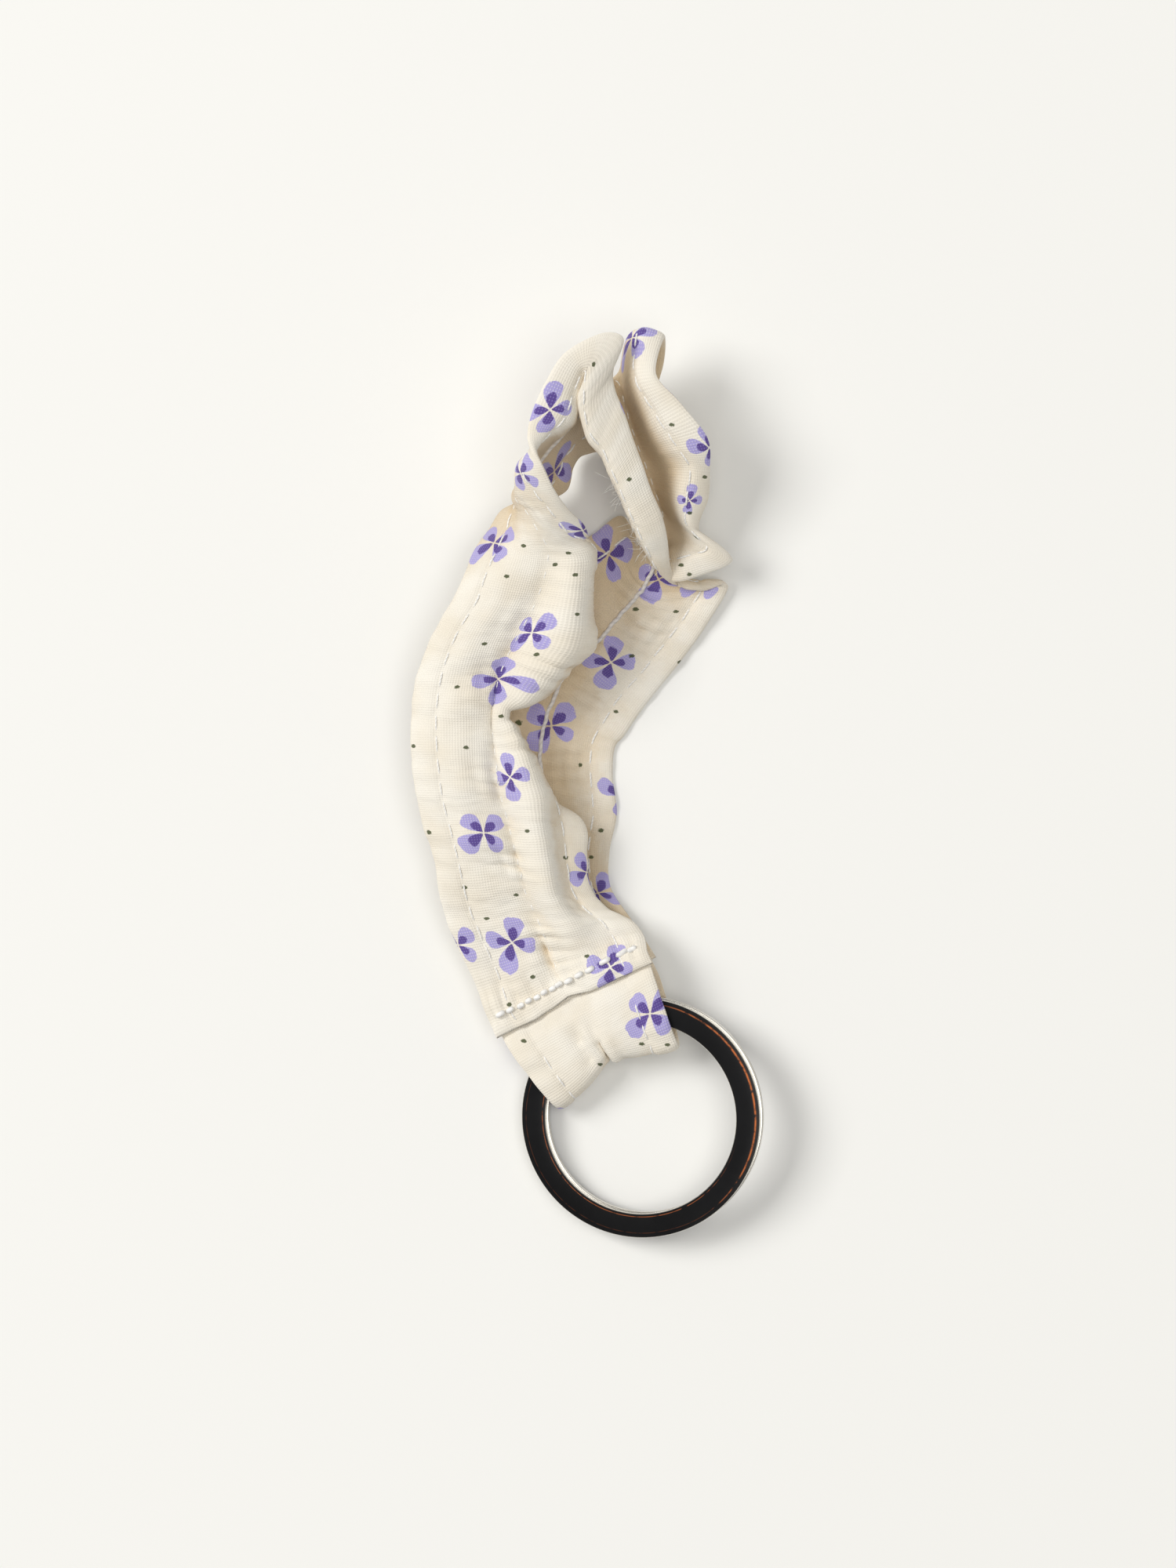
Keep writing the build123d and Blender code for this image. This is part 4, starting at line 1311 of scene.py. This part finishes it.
    def on_top(self, spot: Array) -> Array:
        """The point of the front leg's outer face that lies over a spot."""
        width = len(self.band.across)
        region = self.band.points[:40, :width].reshape(-1, 3)
        offset = region - spot
        height = offset @ RING_NORMAL
        flat = np.linalg.norm(offset - height[:, None] * RING_NORMAL, axis=1)
        near = np.argsort(flat)[:4]
        return spot + RING_NORMAL * float(height[near].mean())


@dataclass
class RingTab:
    """The end of the strip that holds the ring."""

    cotton: bpy.types.Material
    topstitch: bpy.types.Material
    flat_size: tuple[float, float] = (0.0205, 0.027)

    def build(self) -> list[bpy.types.Object]:
        """Builds the tab and its topstitching."""
        strip = TabStrip(
            tab_rows(), "tab_cloth", 31, step=0.2, gather=0.03, panel=0.22, rumple=0.012,
            flowers=TAB_FLOWERS, specks=TAB_SPECKS,
        )
        piece = strip.build(self.cotton)
        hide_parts("tab_outer_ply", "tab_inner_ply")
        sew_across_seam(piece)
        pieces = [piece]
        for seed, (side, across) in enumerate(SIDES):
            threads = Threads(f"tab_{side}_topstitching")
            stitches_along(threads, strip.line(across, Face.OUTER), TOPSTITCH, (3.6, 24.0), 80 + seed)
            piece = threads.build(self.topstitch)
            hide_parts(f"tab_{side}_topstitch")
            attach(piece, "ring_tab")
            pieces.append(piece)
        return pieces


class BandStrip(Strip):
    """The wrist band, pulled down along its elastic and puffed beside it."""

    def pulled(self) -> Array:
        """How far the gathers are pulled smooth: at the twist, on the right leg and on the low ridge."""
        stations = self.stations[:, None]
        twist = window(stations, (12.5, 16.0), (36.5, 39.0))
        ridge = window(stations, (1.6, 3.0), (8.0, 10.0)) * hump(self.across[None, :], 3.8, 2.6)
        return np.clip(twist + ridge, 0, 1)

    def folds(self) -> Array:
        """The gathers, weaker where the band is pulled smooth."""
        return super().folds() * (1 - 0.68 * self.pulled())

    def crinkle(self, side: int) -> Array:
        """The small unevenness, weaker where the band is pulled smooth."""
        return super().crinkle(side) * (1 - 0.75 * self.pulled())

    def settle(self) -> Array:
        """A valley along the elastic and a ridge on its right, mostly on the front leg."""
        u = self.across[None, :]
        stations = self.stations[:, None]
        valleys = ((2, 0.3), (4, 1.0), (7, 1.4), (10, 1.6), (11, 1.2), (13, 1.6), (16, 0.9), (18, 0.0))
        ridges = ((2, 0.1), (4, 0.9), (7, 1.3), (10, 0.6), (11, 0.3), (12.5, 1.2), (15, 1.5), (17.5, 0.0))
        valley = np.interp(stations, *zip(*valleys))
        ridge = np.interp(stations, *zip(*ridges))
        dip = hump(u, 0.0, 1.9) + 0.6 * hump(u, -3.0, 2.0)
        rise = hump(u, 3.5, 1.8)
        lumps = np.sin(2 * math.pi * u / 1.9 + 0.9 * np.sin(u / 1.7)) * (1 - smooth_step(np.abs(u), 9.6, 10.8))
        near_seam = hump(stations, 1.15, 0.75)
        tuck = hump(u, -0.8, 0.8) * hump(stations, 2.1, 0.9)
        return rise * ridge - dip * valley + 0.2 * lumps * near_seam - 0.9 * tuck

    def close_ends(self, middle: Array) -> None:
        """Rolls the ends shut and lets the lip of the closing seam wander."""
        super().close_ends(middle)
        u = self.chart_of(np.arange(self.points.shape[1]))
        u = np.where(u > HALF_WIDTH, 2 * HALF_WIDTH - u, u)
        bends = (
            (-11, -0.4), (-8.5, -0.3), (-5.8, -0.35), (-2.6, 0.1), (-0.4, 0.6), (1.0, 0.3), (2.4, 0.0), (6, 0.1),
            (11, 0.1),
        )
        wander = np.interp(u, *zip(*bends))
        lip = 9
        for row in range(lip):
            self.points[row] += AWAY_FROM_RING * (wander * (1 - row / lip))[:, None]


class TabStrip(Strip):
    """A strip pinched in the middle of its fold."""

    def folds(self) -> Array:
        """Plain ripples, a soft valley and a sharp crease by the fold."""
        plain = super().folds()
        fold = 11
        depth = (fold - np.abs(self.stations - fold))[:, None]
        top = (self.stations > fold)[:, None]
        u = self.across[None, :]
        valley = hump(u, -2.3, 1.1) * window(depth, (4.0, 6.5), (7.8, 9.8))
        run = hump(u + 0.33 * (depth - 4), 0.9, 0.8) * smooth_step(depth, 2.8, 5.0)
        crease = hump(u, -0.1, 0.36) * smooth_step(depth, 6.2, 7.4)
        ridge = hump(u, -0.95, 0.5) * window(depth, (4.4, 6.6), (8.4, 10.0))
        bulge = hump(u, 1.1, 0.9) * smooth_step(depth, 5.8, 7.6)
        pinch = -1.0 * valley - 0.3 * run - 1.7 * crease + 0.85 * ridge + 0.7 * bulge
        calm = 1 - smooth_step(depth, 10.2, 11.0) * 0.6
        return plain + pinch * np.where(top, 1.0, 0.5) * calm


@dataclass
class KeyRing:
    """The flat split ring, wound twice from one wire."""

    plating: bpy.types.Material
    outer: float = 15.0
    inner: float = 12.0
    turn_height: float = 1.08
    split: float = 0.04
    step_start: float = 70.0
    step_angle: float = 40.0
    edge: float = 0.13
    play: float = 0.24
    slices: int = 272

    def build(self) -> list[bpy.types.Object]:
        """Spins the wire's section nearly twice round and lifts its second turn."""
        bpy.ops.object.select_all(action="DESELECT")
        middle = (self.inner + self.outer) / 2 * MM
        bpy.ops.mesh.primitive_plane_add(size=1, location=(middle, 0, 0), rotation=(math.pi / 2, 0, 0))
        piece = bpy.context.active_object
        piece.name = piece.data.name = "split_ring_wire"
        piece.scale = ((self.outer - self.inner) * MM, self.turn_height * MM, 1)
        bpy.ops.object.transform_apply(location=True, rotation=True, scale=True)
        bpy.ops.object.mode_set(mode="EDIT")
        bpy.ops.mesh.select_all(action="SELECT")
        bpy.ops.mesh.bevel(offset=self.edge * MM, segments=4, affect="VERTICES")
        bpy.ops.mesh.select_all(action="SELECT")
        sweep = math.radians(720 - self.step_angle)
        bpy.ops.mesh.spin(
            steps=self.slices, angle=-sweep, center=(0, 0, 0), axis=(0, 0, 1), use_auto_merge=False
        )
        bpy.ops.object.mode_set(mode="OBJECT")
        self.wind(piece, sweep)
        bpy.ops.object.mode_set(mode="EDIT")
        bpy.ops.mesh.select_all(action="SELECT")
        bpy.ops.mesh.normals_make_consistent(inside=False)
        bpy.ops.object.mode_set(mode="OBJECT")
        bpy.ops.object.shade_smooth_by_angle(angle=math.radians(40))
        piece.data.transform(ring_frame())
        piece.data.update()
        piece.data.materials.append(self.plating)
        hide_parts("split_ring")
        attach(piece, "key_ring")
        return [piece]

    def wind(self, piece: bpy.types.Object, sweep: float) -> None:
        """Moves each slice to its height, by its turn number."""
        vertices = piece.data.vertices
        section = len(vertices) // (self.slices + 1)
        level = (self.turn_height + self.split) / 2 * MM
        flat = math.radians(360 - self.step_angle)
        ramp = math.radians(self.step_angle)
        shifts = []
        for index, vertex in enumerate(vertices):
            angle = sweep * (index // section) / self.slices
            share = min(max((angle - flat) / ramp, 0.0), 1.0)
            vertex.co.z += -level + 2 * level * share
            shifts.append(share)
        turn = Matrix.Rotation(math.radians(self.step_start + self.step_angle), 4, "Z")
        piece.data.transform(turn)
        for vertex, share in zip(vertices, shifts):
            vertex.co.x += self.play * (1 - share) * MM


def ring_frame() -> Matrix:
    """The ring's own frame in the row's frame."""
    frame = Matrix.Identity(4)
    for column, axis in enumerate((SEAM_DIRECTION, AWAY_FROM_RING, RING_NORMAL)):
        for row in range(3):
            frame[row][column] = float(axis[row])
    frame.translation = Vector(in_row(RING_CENTRE))
    return frame


@dataclass
class Studio:
    """Pale table, soft light from the left and a camera straight above."""

    camera_height: float = 0.905
    lens: float = 166.0
    surround: float = 0.30
    table_size: float = 6.0

    def build(self) -> None:
        """Makes the floor, the lights and the camera."""
        self.floor()
        self.lights()
        self.camera()

    def floor(self) -> None:
        """A wide pale table."""
        bpy.ops.object.select_all(action="DESELECT")
        bpy.ops.mesh.primitive_plane_add(size=self.table_size, location=(0, 0, 0))
        table = bpy.context.active_object
        table.name = table.data.name = "table_top"
        table.data.materials.append(PaleTable().material())

    def lights(self) -> None:
        """A large soft light from the left, one overhead and an even surround."""
        bpy.context.scene.view_settings.view_transform = "Standard"
        world = bpy.data.worlds.new("studio")
        bpy.context.scene.world = world
        world.use_nodes = True
        background = world.node_tree.nodes["Background"]
        background.inputs["Color"].default_value = (1.0, 0.99, 0.965, 1.0)
        background.inputs["Strength"].default_value = self.surround
        self.area("key_light", (-1.50, 0.60, 1.60), 1.0, 31.0)
        self.area("overhead_light", (0.36, 0.0, 2.3), 1.5, 17.0)

    def area(self, name: str, place: tuple[float, float, float], size: float, power: float) -> None:
        """One square light aimed at the object."""
        light = bpy.data.lights.new(name, "AREA")
        light.size = size
        light.energy = power
        light.color = (1.0, 0.985, 0.955)
        lamp = bpy.data.objects.new(name, light)
        lamp.location = place
        lamp.rotation_euler = Vector(place).to_track_quat("Z", "Y").to_euler()
        bpy.context.scene.collection.objects.link(lamp)

    def camera(self) -> None:
        """Looks straight down, with the ring at the bottom."""
        camera = bpy.data.objects.new("camera", bpy.data.cameras.new("camera"))
        camera.location = (ORIGIN[0] * MM, ORIGIN[1] * MM, self.camera_height)
        camera.data.lens = self.lens
        camera.data.sensor_width = 36.0
        camera.data.clip_start = 0.01
        bpy.context.scene.collection.objects.link(camera)
        bpy.context.scene.camera = camera


def main() -> None:
    """Builds every sub-assembly and reports its pieces."""
    logging.basicConfig(level=logging.INFO, format="%(name)s: %(message)s")
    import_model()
    cotton = PrintedCotton().material()
    topstitch = Thread("sewing_thread", (0.95, 0.93, 0.89, 1.0), 0.5).material()
    elastic = Thread("elastic_thread", (0.83, 0.79, 0.755, 1.0), 0.8).material()
    closing = Thread("closing_thread", (0.97, 0.96, 0.94, 1.0), 1.1, 0.35).material()
    frame = ring_frame()
    axis = tuple(map(float, RING_NORMAL))
    plating = NickelWithPaintedReflection(tuple(frame.translation), tuple(frame.to_euler()), axis, 12.0, 15.0).material()
    assemblies = (
        WristLoop(cotton, topstitch, elastic, closing),
        RingTab(cotton, topstitch),
        KeyRing(plating),
    )
    for assembly in assemblies:
        for piece in assembly.build():
            log.info("%s: %d faces", piece.name, len(piece.data.polygons))
    Studio().build()


if __name__ == "__main__":
    main()
